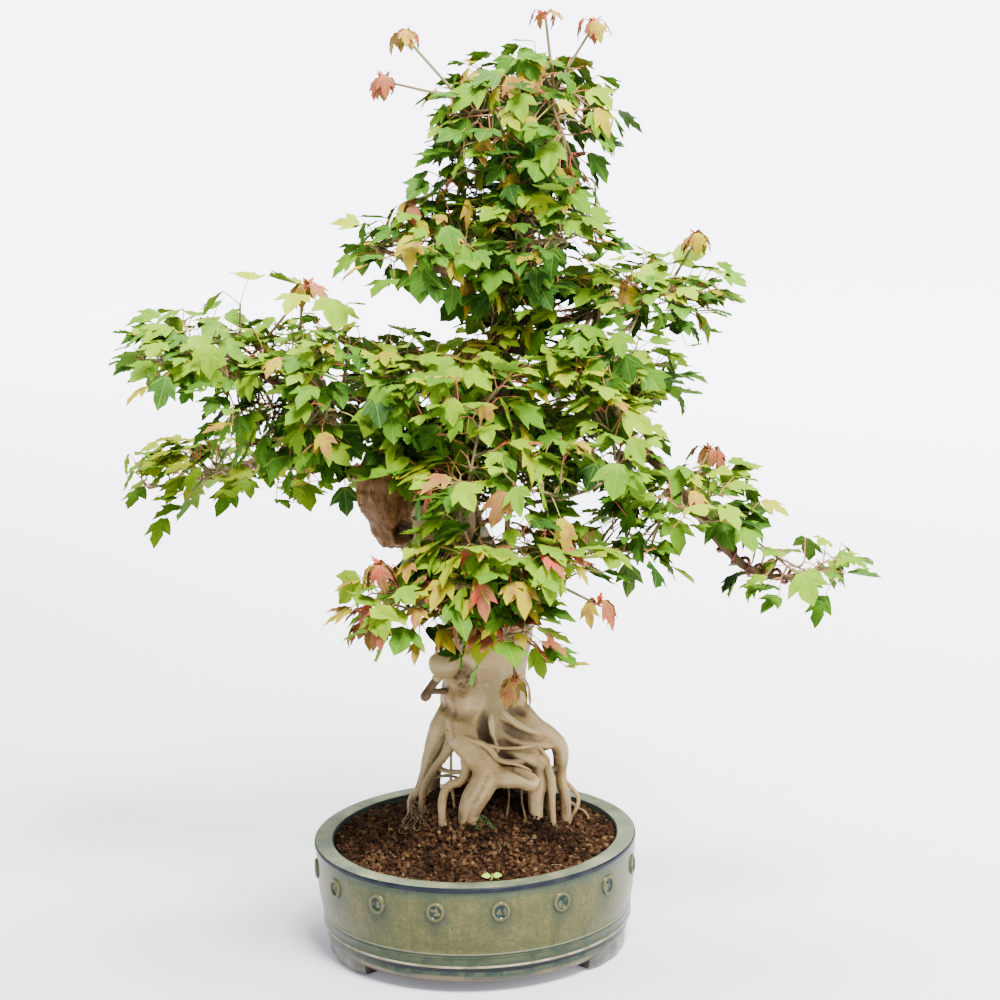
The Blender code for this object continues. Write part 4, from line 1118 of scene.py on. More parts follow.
# Each grown leaf's edge, then its bend along, fold at its middle, curl of its sides, twist and spread
GROWN_FORMS = [
    (DEEP_HALF, 0.16, 0.26, 0.30, 0.0, 1.0), (DEEP_HALF, 0.06, 0.14, 0.20, 0.12, 1.06),
    (DEEP_HALF, 0.34, 0.34, 0.26, -0.10, 0.92), (DEEP_HALF, 0.14, 0.30, 0.34, 0.15, 0.88),
    (SHALLOW_HALF, 0.30, 0.16, 0.14, -0.14, 1.08), (SHALLOW_HALF, 0.08, 0.46, 0.22, 0.06, 0.94),
    (SHALLOW_HALF, 0.18, 0.30, 0.30, 0.10, 0.90),
]
YOUNG_FORMS = [(DEEP_HALF, 0.30, 0.30, 0.75, 0.0, 0.66), (DEEP_HALF, 0.12, 0.55, 0.95, 0.15, 0.58),
               (DEEP_HALF, 0.45, 0.40, 0.6, -0.15, 0.74)]


def leaf_model(name, form, mats):
    """A unit leaf from a disc: its rim drawn out to lobes, bent, folded, and backed by a second face."""
    half, bend, fold, curl, twist, spread = form
    half = [(u * spread, v) for u, v in half]
    outline = half + [(-u, v) for u, v in reversed(half[1:-1])]
    count = len(outline)
    tips = (SIDE_TIP, count // 2, count - SIDE_TIP)
    bpy.ops.mesh.primitive_circle_add(vertices=count, radius=1.0, fill_type="NGON")
    obj = bpy.context.object
    obj.name = name
    with editing(obj):
        bpy.ops.mesh.inset(thickness=0.5)
        bpy.ops.mesh.poke()
    mesh = obj.data
    heart = Vector((*HEART, 0.0))
    flat, rim = [], set()
    for vert in mesh.vertices:
        x, y = vert.co.x, vert.co.y
        reach = math.hypot(x, y)
        k = round((math.atan2(x, -y) % (2 * math.pi)) * count / (2 * math.pi)) % count
        on_vein = k in tips
        way = 1 if k % 2 else -1
        share = 0.0 if reach < 0.1 else MID_RING if reach < 0.9 else 1.0
        tooth = TOOTH * way if share == 1.0 and not on_vein else 0.0
        place = heart.lerp(Vector((*outline[k], 0.0)), share * (1.0 + tooth))
        flat.append((place.x, place.y))
        rise = fold * abs(place.x) - curl * abs(place.x) ** 1.5 - bend * place.y ** 2
        rise += twist * place.x * place.y
        if share == 1.0 and not on_vein and 1 < k < count - 1:
            rise += RIPPLE * way
        if share == MID_RING:
            rise += -RIPPLE if on_vein else 0.7 * RIPPLE
        vert.co = (place.x, place.y, rise)
        if share == 1.0:
            rim.add(vert.co.xy.to_tuple(5))
    layer = mesh.uv_layers[0] if mesh.uv_layers else mesh.uv_layers.new()
    layer.name = "blade"
    for loop in mesh.loops:
        u, v = flat[loop.vertex_index]
        layer.data[loop.index].uv = (0.5 + u * 0.6, 0.05 + v * 0.85)
    for mat in mats:
        mesh.materials.append(mat)
    upper = len(mesh.vertices)
    with editing(obj):
        bpy.ops.mesh.duplicate()
        bpy.ops.mesh.flip_normals()
        obj.active_material_index = 1
        bpy.ops.object.material_slot_assign()
    for vert in mesh.vertices:
        if vert.co.xy.to_tuple(5) not in rim:
            vert.co.z += BLADE_SWELL if vert.index < upper else -BLADE_SWELL
    with editing(obj):
        bpy.ops.mesh.remove_doubles(threshold=0.0002)
    return obj


def leaf_at(base, along, length, facing):
    """A leaf's base, direction and length, and the way its face looks: as near to facing as can be."""
    return {"base": Vector(base), "along": along, "length": length,
            "flat": unit(facing - along * facing.dot(along))}


def leaf_matrix(leaf, width=1.0):
    """Where a unit leaf goes: its base, length and turn."""
    along, flat = leaf["along"], leaf["flat"]
    size = leaf["length"] * MM
    return turned_to(along.cross(flat) * (size * width), along * size, flat * size, leaf["base"] * MM)


# Foliage

# How much each pad shows lime tops and bronze tips
PAD_TONES = [
    (0.32, 0.26, -0.16), (0.4, 0.22, -0.06), (0.35, 0.20, -0.08), (0.2, 0.0, -0.05), (0.35, 0.12, -0.03),
    (0.5, 0.08, 0.0), (0.5, 0.08, 0.0), (0.5, 0.08, 0.07), (0.7, 0.10, 0.25), (0.5, 0.30, 0.07),
    (0.6, 0.55, 0.08), (0.6, 0.65, 0.12), (0.5, 0.65, 0.12), (0.2, 0.0, -0.04), (0.4, 0.05, 0.04),
    (0.4, 0.06, 0.0), (0.3, 0.02, -0.04), (0.35, 0.05, 0.0), (0.25, 0.0, -0.04),
]
# Where the photograph's foliage has more than the pads: centre, half sizes, and how many small shoots
EXTRA_PADS = [
    ((-122, -2, 424), (74, 60, 34), 34), ((20, 30, 424), (52, 40, 40), 22), ((44, 10, 500), (44, 44, 34), 18),
    ((66, -10, 616), (50, 46, 26), 16), ((110, -20, 446), (46, 50, 34), 16),
    ((10, -72, 384), (38, 32, 42), 24),
    ((-42, -42, 410), (34, 24, 28), 16), ((90, -44, 466), (42, 26, 34), 18),
    ((2, -96, 330), (64, 30, 38), 26), ((16, -98, 292), (48, 26, 26), 14), ((20, -60, 428), (44, 32, 30), 14),
    ((40, -10, 648), (56, 46, 44), 28), ((2, -16, 612), (34, 26, 20), 9), ((44, -32, 550), (46, 24, 38), 20),
    ((60, -30, 590), (34, 24, 28), 10),
]
# Green shoots that stand up out of the left pad: foot, top and radius
UPRIGHT = [((-124, -6, 482), (-121, -10, 527), 1.4), ((-170, -6, 496), (-168, -12, 528), 1.1),
           ((-99, -8, 492), (-93, -12, 518), 1.1)]
# Single leaves that hang below it: where the blade starts, and its length
HANGING = [((-94, -2, 380), 25), ((-76, -3, 379), 15)]
# The room in front of the old stub that small shoots leave open
CLEARING = ((-92.0, -140.0, 330.0), (-48.0, -20.0, 398.0))
SHRINK = 0.72  # a fine leaf's length as a share of the coarse one's
FILL = 6.4  # small shoots for each coarse one
FILL_MARGIN = (12.0, 12.0, 8.0)
FILL_SPACING = 9.6
FILL_LENGTH = (14.0, 29.0)
FILL_PETIOLE = (9.0, 22.0)
JOINT_STEP = 9.0  # between the places on a coarse shoot that small ones leave
LONG_TWIG = 26.0  # from here on a twig carries a second pair half way along
FARTHEST = 70.0  # the longest that a small shoot gets
TOP_TIPS = 560.0  # from this height on, bronze tips are smaller
# The places of a leaf that stay inside the whole: across, along and below it, as shares of its length
LEAF_PLACES = ((0.0, 0.0, 0.0), (0.0, 1.04, 0.36), (0.66, 0.6, 0.12), (-0.66, 0.6, 0.12), (0.0, 1.04, 0.0),
               (0.66, 0.6, -0.12), (-0.66, 0.6, -0.12))
EDGE_CLEAR = 0.0006  # between them and the box of the whole, in metres


def pad_place(point):
    """The pad round a point, how far out in it and how high the point is, and its way from the middle."""
    best = None
    for number, (middle, half, _) in enumerate(PADS):
        off = Vector([(p - c) / h for p, c, h in zip(point, middle, half)])
        if best is None or off.length < best[1]:
            best = (number, off.length, off.z, Vector(point) - Vector(middle))
    return best


def leaf_tone(leaf, rng):
    """Shares for a leaf's finish: how light its green is, how young it is, and chance."""
    number, out, rise, _ = pad_place(leaf["base"])
    lime, bronze, shift = PAD_TONES[number]
    out = min(out, 1.25)
    # lighter toward a pad's outside and top: partly the lime of new growth, partly painted shade on inner and
    # lower leaves
    tint = 0.28 + shift + 0.13 * out ** 2 + 0.15 * rise + rng.gauss(0.0, 0.17)
    if rng.random() < lime and out > 0.5:
        tint += rng.uniform(0.03, 0.32) * min(1.0, 0.6 + rise)
    age = 0.0
    if out > 0.6 and leaf["length"] < 29.0 and rng.random() < bronze:
        age = rng.uniform(0.2, 0.85) if number in FRONT_LOW_PADS else rng.uniform(0.15, 0.5)
    return min(max(tint, 0.0), 1.0), age, rng.random()


def fine_leaf(root, stem, reach, outward, length, rng, young=False, hang=0.3):
    """A leaf that lies level, or hangs with its upper face out of its pad."""
    base = root + stem * reach
    flat_out = Vector((outward.x, outward.y, 0.0))
    flat_out = unit(flat_out) if flat_out.length > 0.1 else Vector((0.0, -1.0, 0.0))
    lean = rng.uniform(0.7, 2.2) if rng.random() < hang else rng.uniform(-0.15, 0.35)
    if young:
        lean = rng.uniform(0.9, 2.6)
    loose = Vector([rng.gauss(0, 0.22) for _ in range(3)])
    flat = unit(UP + flat_out * lean + loose * (1.0 + 0.5 * lean))
    level = Vector((stem.x, stem.y, 0.0)) * 0.9 + flat_out * 0.5
    aim = level + Vector((rng.gauss(0, 0.4), rng.gauss(0, 0.4), -0.35 - 0.5 * lean))
    along = unit(aim - flat * aim.dot(flat))
    return {"root": root, "base": base, "along": along, "flat": flat, "length": length, "young": young}


def fill_shoots(nodes, guards, rng):
    """Small shoots that leave the coarse ones and fill the pads: (spray, joint, end)."""
    joints = []
    for node in nodes:
        if node["seat"] is not None or node["young"]:
            continue
        start = nodes[node["from"]]["at"]
        step = node["at"] - start
        stops = max(1, int(step.length / JOINT_STEP))
        joints += [(node["at"] - step * (k / stops), unit(step), node["spray"]) for k in range(stops)]
    tree = tree_through([place for place, _, _ in joints])
    placed, shoots = [], []
    fills = [(middle, half, count * FILL) for middle, half, count in PADS] + EXTRA_PADS
    for middle, half, count in fills:
        room = [h - m for h, m in zip(half, FILL_MARGIN)]
        found, tries = 0, 0
        while found < count and tries < 5000:
            tries += 1
            way = unit([rng.gauss(0.0, 1.0) for _ in range(3)])
            if way.z < -0.35:
                way.z *= -1
            depth = 1.0 - 0.6 * rng.random() ** 1.5
            end = Vector([c + w * r * depth for c, w, r in zip(middle, way, room)])
            if any((end - p).length < FILL_SPACING for p in placed) or guards.near(end, 7.0):
                continue
            best = None
            for place, k, distance in tree.find_n(end, 8):
                joint, along, spray = joints[k]
                bend = 1.0 - (end - joint).dot(along) / max(distance, 1.0)
                cost = distance * (1.0 + 0.3 * bend)
                if 6.0 < distance < FARTHEST and (best is None or cost < best[0]):
                    best = (cost, spray, joint)
            if best is None:
                continue
            placed.append(end)
            shoots.append((best[1], best[2], end))
            found += 1
    return shoots


class Bark:
    """The wood's limbs as rows of balls, to keep leaves out of them."""

    def __init__(self):
        self.balls = []
        for rows in all_limbs():
            for a, b in zip(rows, rows[1:]):
                steps = max(1, int((spot(b) - spot(a)).length / 4.0))
                for k in range(steps):
                    t = k / steps
                    self.balls.append((spot(a).lerp(spot(b), t), a[3] + (b[3] - a[3]) * t))
        self.tree = tree_through([place for place, _ in self.balls])

    def near(self, point, clear):
        return any(distance < self.balls[k][1] + clear
                   for _, k, distance in self.tree.find_n(point, 12))


def sagging(root, base, sag, radius):
    """A petiole as a shallow arch between two places."""
    line = []
    for k, share in enumerate((0.0, 0.4, 0.75, 1.0)):
        place = root.lerp(base, share) + UP * (sag * math.sin(math.pi * share))
        line.append((place, radius * (1.25 if k == 0 else 1.0 - 0.2 * share)))
    return line


def shoot_line(start, end, radius, tip, rng):
    step = end - start
    side = Vector((rng.gauss(0, 1), rng.gauss(0, 1), rng.gauss(0, 0.6))) * step.length * 0.05
    return [(start, radius), (start.lerp(end, 0.35) + side, radius * 0.85 + tip * 0.15),
            (start.lerp(end, 0.7) + side * 0.5, (radius + tip) / 2), (end, tip)]


def fine_pair(end, way, rng, bark, size=1.0):
    """An opposite pair of small leaves, and now and then a third at the shoot's very end."""
    number, _, rise, off = pad_place(end)
    outward = unit(Vector((off.x, off.y, off.z * 0.6)) + way * 12.0)
    side = way.cross(UP)
    side = unit(side) if side.length > 0.2 else Vector((1.0, 0.0, 0.0))
    side.rotate(Matrix.Rotation(rng.uniform(0, math.pi), 3, way))
    found = []
    signs = (1.0, -1.0, 0.0) if rng.random() < 0.3 else (1.0, -1.0)
    if number in FRONT_LOW_PADS:
        size *= 1.15
    hang = 0.14 if rise > 0.1 else 0.32 if rise > -0.3 else 0.62
    if number == APEX_PAD:
        hang += 0.25
    for sign in signs:
        for _ in range(4):
            stem = unit(side * sign + way * rng.uniform(0.5, 0.9) + UP * rng.uniform(-0.05, 0.5)
                        + outward * 0.4)
            leaf = fine_leaf(end - way * rng.uniform(0.0, 1.2), stem, rng.uniform(*FILL_PETIOLE), outward,
                             rng.uniform(*FILL_LENGTH) * size, rng, hang=hang)
            tip = leaf["base"] + leaf["along"] * leaf["length"] * 0.9
            middle = leaf["base"] + leaf["along"] * leaf["length"] * 0.45
            if not (bark.near(tip, 2.5) or bark.near(middle, 4.0) or outside(leaf)
                    or in_clearing(tip) or in_clearing(middle)):
                found.append(leaf)
                break
    return found


def in_clearing(place):
    """Whether a place is in front of the old stub's lower half, where few leaves grow."""
    return all(low < p < high for p, low, high in zip(place, *CLEARING))


def outside(leaf):
    """Whether a leaf reaches beyond the size of the whole."""
    low, high = cad_box
    right = leaf["along"].cross(leaf["flat"])
    for u, v, sink in LEAF_PLACES:
        place = leaf["base"] + right * (u * leaf["length"]) + leaf["along"] * (v * leaf["length"])
        place = (place - leaf["flat"] * (sink * leaf["length"])) * MM + HOME
        if any(p < a + EDGE_CLEAR or p > b - EDGE_CLEAR for p, a, b in zip(place, low, high)):
            return True
    return False


def fitted(leaf):
    """The leaf, made shorter until it stays inside the size of the whole."""
    while outside(leaf) and leaf["length"] > 5.0:
        leaf["length"] *= 0.9
    for _ in range(12):
        if outside(leaf):
            leaf["base"] = leaf["base"] - UP * 0.6
    return leaf


def nearest_spray(nodes, place):
    """The spray whose shoots come nearest to a place."""
    found = [n for n in nodes if n["seat"] is None and not n["young"]]
    return min(found, key=lambda n: (n["at"] - Vector(place)).length)["spray"]


def bud_leaves(node, rng):
    """The narrow young blades of a bronze tip, and the tiny red ones at its heart."""
    found = []
    root = node["at"] + node["way"] * 3.0
    size = 0.72 if node["at"].z > TOP_TIPS else 1.0
    first = rng.uniform(0, 2 * math.pi)
    for k in range(4):
        turn = first + math.pi * k / 2 + rng.uniform(-0.3, 0.3)
        out = Vector((math.cos(turn), math.sin(turn), 0.35 + 0.3 * (k % 2)))
        found.append(fitted(fine_leaf(root, unit(out), rng.uniform(5, 10), out, rng.uniform(18, 26) * size,
                                      rng, True)))
    for k in range(3):
        turn = first + 2.4 * k
        out = unit((math.cos(turn) * 0.5, math.sin(turn) * 0.5, 1.0))
        leaf = leaf_at(root + out * rng.uniform(1, 3), out, rng.uniform(6, 10),
                       unit(UP - out * out.z * 0.9 + Vector((0.1, 0, 0))))
        found.append(fitted(dict(leaf, root=root)))
    return found


def spray_growth(nodes, leaves, spray, fills, bark, rng):
    """A spray's twigs and leaves: its solid's own, those that fill it, and single ones seen on it."""
    seat = next(n for n in nodes if n["spray"] == spray)
    place, way, radius = seat["seat"]
    twigs = [[(place + way * (radius - 1.0), 2.2), (seat["at"], 1.8)]]
    for line in twig_lines(nodes, spray):
        spots = [nodes[i]["at"] for i in line]
        twigs.append([(p, 1.3 - 0.5 * k / len(spots)) for k, p in enumerate(spots)])
    blades = []
    for i, node in enumerate(nodes):
        if node["spray"] == spray and node["seat"] is None and not node["young"]:
            blades += [fitted(dict(leaf, length=leaf["length"] * SHRINK)) for leaf in leaves[i]]
    for start, end in fills:
        way = unit(end - start)
        twigs.append(shoot_line(start, end, 1.05, 0.6, rng))
        blades += fine_pair(end, way, rng, bark)
        if (end - start).length > LONG_TWIG:
            blades += fine_pair(start.lerp(end, 0.5), way, rng, bark, 1.05)
    if spray == nearest_spray(nodes, UPRIGHT[0][0]):
        for foot, top, radius in UPRIGHT:
            foot, top = Vector(foot), Vector(top)
            twigs.append([(foot, radius), (top, radius * 0.8)])
            blades += fine_pair(top, unit(top - foot), rng, bark, 1.25)
    if spray == nearest_spray(nodes, HANGING[0][0]):
        for place, length in HANGING:
            leaf = {"along": unit((0.06, -0.1, -1.0)), "flat": unit((0.1, -1.0, 0.1)), "length": length}
            blades.append(dict(leaf, root=Vector(place) + Vector((2, 2, 16)), base=Vector(place)))
    return twigs, blades


def make_spray(number, twigs, blades, grown, young, mats, rng):
    """One spray's piece: its blades, their stalks and its twigs."""
    stalks, wanted = [], []
    for leaf in blades:
        stalks.append(sagging(leaf["root"], leaf["base"], rng.uniform(0.3, 1.6), 0.48))
        tone = leaf_tone(leaf, rng)
        model = rng.randrange(len(grown)) if tone[1] < 0.15 else len(grown) + rng.randrange(len(young))
        wanted.append((model, leaf_matrix(leaf, rng.uniform(0.86, 1.1)), tone))
    parts = [stems("twigs", twigs, mats[3], corners=1, resolution=2)]
    if wanted:
        parts.insert(0, stems("stalks", stalks, mats[2], corners=0, rounded=False))
        parts.insert(0, copies("blades", grown + young, wanted))
    settle(join(parts, f"foliage_{number:02d}"), [f"spray_{number:02d}"])


def make_tip(number, node, blades, young, mats, rng):
    """One bronze tip: its narrow blades, their stalks and the end of its twig."""
    stalks, wanted = [], []
    for leaf in blades:
        stalks.append(sagging(leaf["root"], leaf["base"], 0.5, 0.5))
        model = rng.randrange(len(young))
        age = rng.uniform(0.85, 1.0) if leaf["length"] < 11 else rng.uniform(0.35, 0.8)
        wanted.append((model, leaf_matrix(leaf), (0.4, age, rng.random())))
    twig = [(node["at"] - node["way"], 1.1), (node["at"] + node["way"] * 6.0, 0.9)]
    parts = [copies("blades", young, wanted), stems("stalks", stalks, mats[2], corners=0, rounded=False),
             stems("twigs", [twig], mats[2], corners=1)]
    settle(join(parts, f"young_{number:02d}"), [f"tip_{number:02d}"])


def make_foliage(mats):
    """Finer sprays and tips in the place of the solids."""
    rng = random.Random(7)
    nodes, leaves = plan_foliage()
    bark = Bark()
    grown = [leaf_model(f"leaf_{k}", form, mats[:2]) for k, form in enumerate(GROWN_FORMS)]
    young = [leaf_model(f"young_leaf_{k}", form, mats[:2]) for k, form in enumerate(YOUNG_FORMS)]
    shoots = fill_shoots(nodes, bark, rng)
    sprays = sorted({n["spray"] for n in nodes if n["seat"] is None})
    for k, spray in enumerate(sprays):
        fills = [(start, end) for owner, start, end in shoots if owner == spray]
        twigs, blades = spray_growth(nodes, leaves, spray, fills, bark, rng)
        make_spray(k + 1, twigs, blades, grown, young, mats, rng)
    tips = [i for i, n in enumerate(nodes) if n["young"]]
    for k, i in enumerate(tips):
        size = 0.60 if nodes[i]["at"].z > TOP_TIPS else 0.80
        blades = [fitted(dict(leaf, length=leaf["length"] * size)) for leaf in leaves[i]]
        make_tip(k + 1, nodes[i], blades + bud_leaves(nodes[i], rng), young, mats, rng)
    discard(grown + young)


# Wood

VOXEL = 1.42
BOLE = 12  # how many of the trunk's rows are worked in one skin with the roots
SLEEVE = 10  # the row where the thinner upper trunk starts, inside that skin
LEAN_BRANCH = 0.78  # a bare branch's radius as a share of its solid's, and those in front
LEAN_FRONT = 0.55
# Roots built as stems of their own, beside the thick ones in one skin
SLIM = ("runner", "window", "thin_left", "kinked")
# The left root at the back, further in than its solid, and swellings of the lower trunk
BACK_LEFT = [(-12, 6, 188, 15), (-25, 18, 168, 10), (-30, 29, 146, 7.5), (-33, 34, 124, 6.4),
             (-33, 34, 98, 6)]
BULGES = [[(13, -28, 208, 3), (15, -32, 194, 5), (15, -33, 182, 4.6), (19, -34, 168, 3.6)],
          [(16, -26, 209, 4), (25, -28, 197, 6), (34, -26, 188, 6), (46, -22, 180, 5), (56, -16, 174, 4)],
          [(8, -14, 200, 8), (9, -14, 186, 9), (12, -12, 170, 8), (16, -10, 158, 6)],
          [(26, -16, 198, 8), (36, -17, 186, 9.5), (48, -14, 176, 9.5), (60, -8, 168, 7)]]
# The horn that curls down beside the knob, and the spur below it
CURL = [(-19, -12, 231, 6), (-24.5, -13, 225.5, 4.2), (-29, -14, 220.5, 3.4), (-32.5, -15, 215.5, 3.3),
        (-35.0, -16, 211.6, 4.4), (-36.4, -16, 209, 4.3), (-37.2, -16, 206.8, 2.4)]
SPUR = [(-14, -12, 210, 4.4), (-20, -13, 213, 2.8), (-26, -14, 213.4, 2.3), (-31.5, -15, 214, 2.6)]
BALL = Vector((-19.5, -16.0, 236.5))
BALL_RADIUS = 12.4
THIN_ROOTS = [
    [(12, -43, 177, 1.0), (22, -45, 175, 1.3), (34, -44, 174, 1.2), (45, -38, 173, 1.2),
     (52, -30, 172, 0.9)],
    [(17, -42, 168, 1.0), (22, -45, 165, 1.3), (34, -44, 160.5, 1.3), (42, -38, 155, 1.2),
     (46, -34, 151, 1.0)],
    [(52, -32, 172, 0.9), (56, -34, 167, 1.2), (60, -32, 160, 1.2), (61, -28, 154, 1.0)],
    [(58, -22, 156, 3.0), (61, -25, 144, 3.4), (62, -26, 134, 3.0), (62.5, -27, 120, 2.6),
     (62.5, -27, 96, 2.4)],
    [(72, -2, 134, 1.6), (79, -3, 126, 1.6), (84, -6, 118, 1.5), (82.5, -8, 110, 1.4), (78, -8, 102, 1.3),
     (75, -8, 94, 1.3)],
    [(72, 62, 95, 1.4), (80, 59, 92, 1.7), (86, 47, 91, 1.6), (91, 37, 91, 1.2), (94, 30, 88, 0.8)],
    [(-17, -22, 165, 1.3), (-17.5, -23, 154, 1.2), (-17.8, -25, 142, 1.2), (-16, -26, 126, 1.1),
     (-15, -27, 110, 1)],
    [(-30, -12, 141, 1.2), (-20, -18, 144.5, 1.3), (-8, -26, 143.5, 1.2), (-2, -30, 145, 1.2)],
    [(-25.5, -39, 116, 2.2), (-23, -43, 111.5, 1.7), (-19, -47.5, 110.4, 1.2), (-15, -50, 108, 0.7)],
    [(27, -36, 144, 0.9), (28, -33, 130, 0.7), (25, -37, 112, 0.7)],
    [(40, -34, 144, 1.0), (38, -32, 130, 0.8), (41, -36, 110, 0.8)],
]


def limb_samples(limbs):
    """Balls along the limbs: place, direction, radius, length so far, and the limb's kind."""
    rows_of = []
    for kind, rows in limbs:
        so_far = 0.0
        for a, b in zip(rows, rows[1:]):
            step = spot(b) - spot(a)
            count = max(1, int(step.length / 3.0))
            for k in range(count + 1):
                t = k / count
                rows_of.append((spot(a) + step * t, unit(step), a[3] + (b[3] - a[3]) * t,
                                so_far + step.length * t, kind))
            so_far += step.length
    return rows_of, tree_through([row[0] for row in rows_of])


def nearest_limb(place, samples, tree):
    """The ball whose surface is nearest to a place, or in which it lies deepest."""
    best = None
    for _, k, distance in tree.find_n(place, 14):
        depth = distance - samples[k][2]
        if best is None or depth < best[0]:
            best = (depth, samples[k])
    return best[1]


def bump_at(p, scale, seed=0.0):
    """Noise between about -1 and 1 at a place, its lumps as wide as the scale."""
    return noise.noise(Vector((p.x / scale + seed, p.y / scale - seed, p.z / scale + seed * 0.5)))


# Broken places in the wood, one under the knob and one in the stub, darkened inside with painted shade:
# middle, reach and depth
POCKETS = ((Vector((-7, -31, 229)), 15.0, 4.0), (Vector((-48, -22, 347)), 10.0, 9.0))
# Folds seen from the front: how wide, how deep, how much shade is painted in them, and their places as x and
# z
FOLDS = [
    (7.0, 2.2, 0.05, [(-30, 202), (-10, 198), (10, 202)]),
    (6.5, 1.8, 0.05, [(-27, 217), (-14, 215), (2, 219)]),
    (6.5, 4.6, 0.16, [(13, 212), (8, 192), (11, 180), (22, 168)]),
    (6.5, 4.2, 0.13, [(20, 196), (32, 182), (44, 176), (66, 170)]),
    (5.5, 4.4, 0.20, [(18, 168), (35, 157), (52, 146)]),
    (5.0, 2.8, 0.12, [(24, 214), (33, 200), (48, 190)]),
]
FOLDS_TOP = 232.0
DAMP_RISE = 40.0  # how far up from the soil the bark is damp


def fold_at(p):
    """How deep the folds are at a place on the wood's front, and how much shade is painted in them."""
    deep = dark = 0.0
    for width, depth, shade, line in FOLDS:
        for k, ((ax, az), (bx, bz)) in enumerate(zip(line, line[1:])):
            dx, dz = bx - ax, bz - az
            t = max(0.0, min(1.0, ((p.x - ax) * dx + (p.z - az) * dz) / (dx * dx + dz * dz)))
            gap = math.hypot(p.x - ax - t * dx, p.z - az - t * dz) + 1.2 * bump_at(p, 14.0, 11.0)
            share = (k + t) / (len(line) - 1)
            near = max(0.0, 1.0 - gap / width) * min(1.0, 4.0 * share, 4.0 * (1.0 - share))
            near = near * near * (3.0 - 2.0 * near)
            deep = max(deep, depth * near)
            dark = max(dark, shade * near * near)
    return deep, dark


def carve(limbs, obj):
    """Work bark into a smooth mesh: flutes, lumps, creases, and the stub's ridges and cracks."""
    samples, tree = limb_samples(limbs)
    mesh = obj.data
    tones = np.zeros((len(mesh.vertices), 4))
    tones[:, 3] = 1.0
    moved = []
    for index, vert in enumerate(mesh.vertices):
        p = vert.co / MM
        centre, along, radius, run, kind = nearest_limb(p, samples, tree)
        out = (p - centre) - along * (p - centre).dot(along)
        out = unit(out) if out.length > 1e-4 else Vector(vert.normal)
        size = min(radius / 30.0, 1.0)
        flute = noise.noise(Vector((out.x * 2.1 + run / 90.0, out.y * 2.1, out.z * 2.1 + run / 70.0)))
        lump = bump_at(p, 15.0, 3.0)
        grit = bump_at(p, 4.2, 7.0)
        ring = noise.noise(Vector((out.x * 0.8, out.y * 0.8, run / 4.2)))
        rise = 1.5 * size * flute + 1.1 * min(size * 1.6, 1.0) * lump + 0.14 * grit + 0.45 * size * ring
        old = 0.0
        if kind == "stub":
            cell = noise.voronoi(Vector((p.x / 25.0, p.y / 25.0, p.z / 31.0)))[0]
            chip = noise.noise(Vector((out.x * 4.0, out.y * 4.0, run / 9.0)))
            rise += 5.0 * (0.20 - cell[0] ** 2) + 1.2 * chip + 0.5 * grit
            old = 1.0
        for middle, reach, deep in POCKETS:
            near = 1.0 - (p - middle).length / (reach * (1.0 + 0.5 * lump))
            if near > 0.0:
                crumb = bump_at(p, 2.8, 4.0)
                rise += crumb * 2.4 * min(1.0, near * 3.0) - deep * min(1.0, near * 1.8)
                # painted shade inside the pocket, mottled by its crumbs
                tones[index, 0] += min(1.0, near * 3.0) * (0.34 + 0.8 * crumb)
        if kind != "stub" and p.y < 0.0 and vert.normal.y < -0.1 and p.z < FOLDS_TOP:
            deep, dark = fold_at(p)
            rise -= deep
            # painted shade in the fold
            tones[index, 0] += dark
        # painted shade in the flutes' valleys and on undersides that face down
        tones[index, 0] += max(0.0, min(0.4, -flute * 0.9 - 0.3)) + max(0.0, -vert.normal.z - 0.2) * 0.45
        tones[index, 1] = old
        above = p.z - ground(p.x, p.y)
        tones[index, 2] = max(0.0, min(1.0, 1.0 - above / DAMP_RISE))
        moved.append(vert.co + vert.normal * (rise * MM))
    mesh.vertices.foreach_set("co", [c for v in moved for c in v])
    mesh.update()
    tones[:, 0] = np.clip(tones[:, 0], 0.0, 1.0)
    set_tones(mesh, tones)


LOOKS_OUT = 12  # how many ways each point of the wood looks for what hides it
LOOKS_FAR = 0.030  # and how far, in metres


def hidden_shares(mesh):
    """How much of what is round each point of a mesh is shut in by the mesh itself."""
    spots = [v.co.copy() for v in mesh.vertices]
    tree = BVHTree.FromPolygons(spots, [tuple(f.vertices) for f in mesh.polygons])
    rng = random.Random(5)
    ways = []
    while len(ways) < LOOKS_OUT:
        way = Vector([rng.gauss(0, 1) for _ in range(3)])
        if way.length > 0.1:
            ways.append(way.normalized() * 0.92)
    hidden = np.zeros(len(spots))
    for index, vert in enumerate(mesh.vertices):
        normal = vert.normal
        start = vert.co + normal * (0.6 * MM)
        for way in ways:
            place, _, _, distance = tree.ray_cast(start, (normal + way).normalized(), LOOKS_FAR)
            if place is not None:
                hidden[index] += 1.0 - 0.6 * distance / LOOKS_FAR
    return hidden / len(ways)


def levelled(mesh, values, rounds):
    """Values at a mesh's points, each drawn towards its neighbours' mean in every round."""
    ends = np.empty(len(mesh.edges) * 2, int)
    mesh.edges.foreach_get("vertices", ends)
    a, b = ends.reshape(-1, 2).T
    size = len(mesh.vertices)
    number = np.bincount(a, minlength=size) + np.bincount(b, minlength=size)
    for _ in range(rounds):
        spread = np.bincount(a, values[b], size) + np.bincount(b, values[a], size)
        values = 0.3 * values + 0.7 * spread / number
    return values


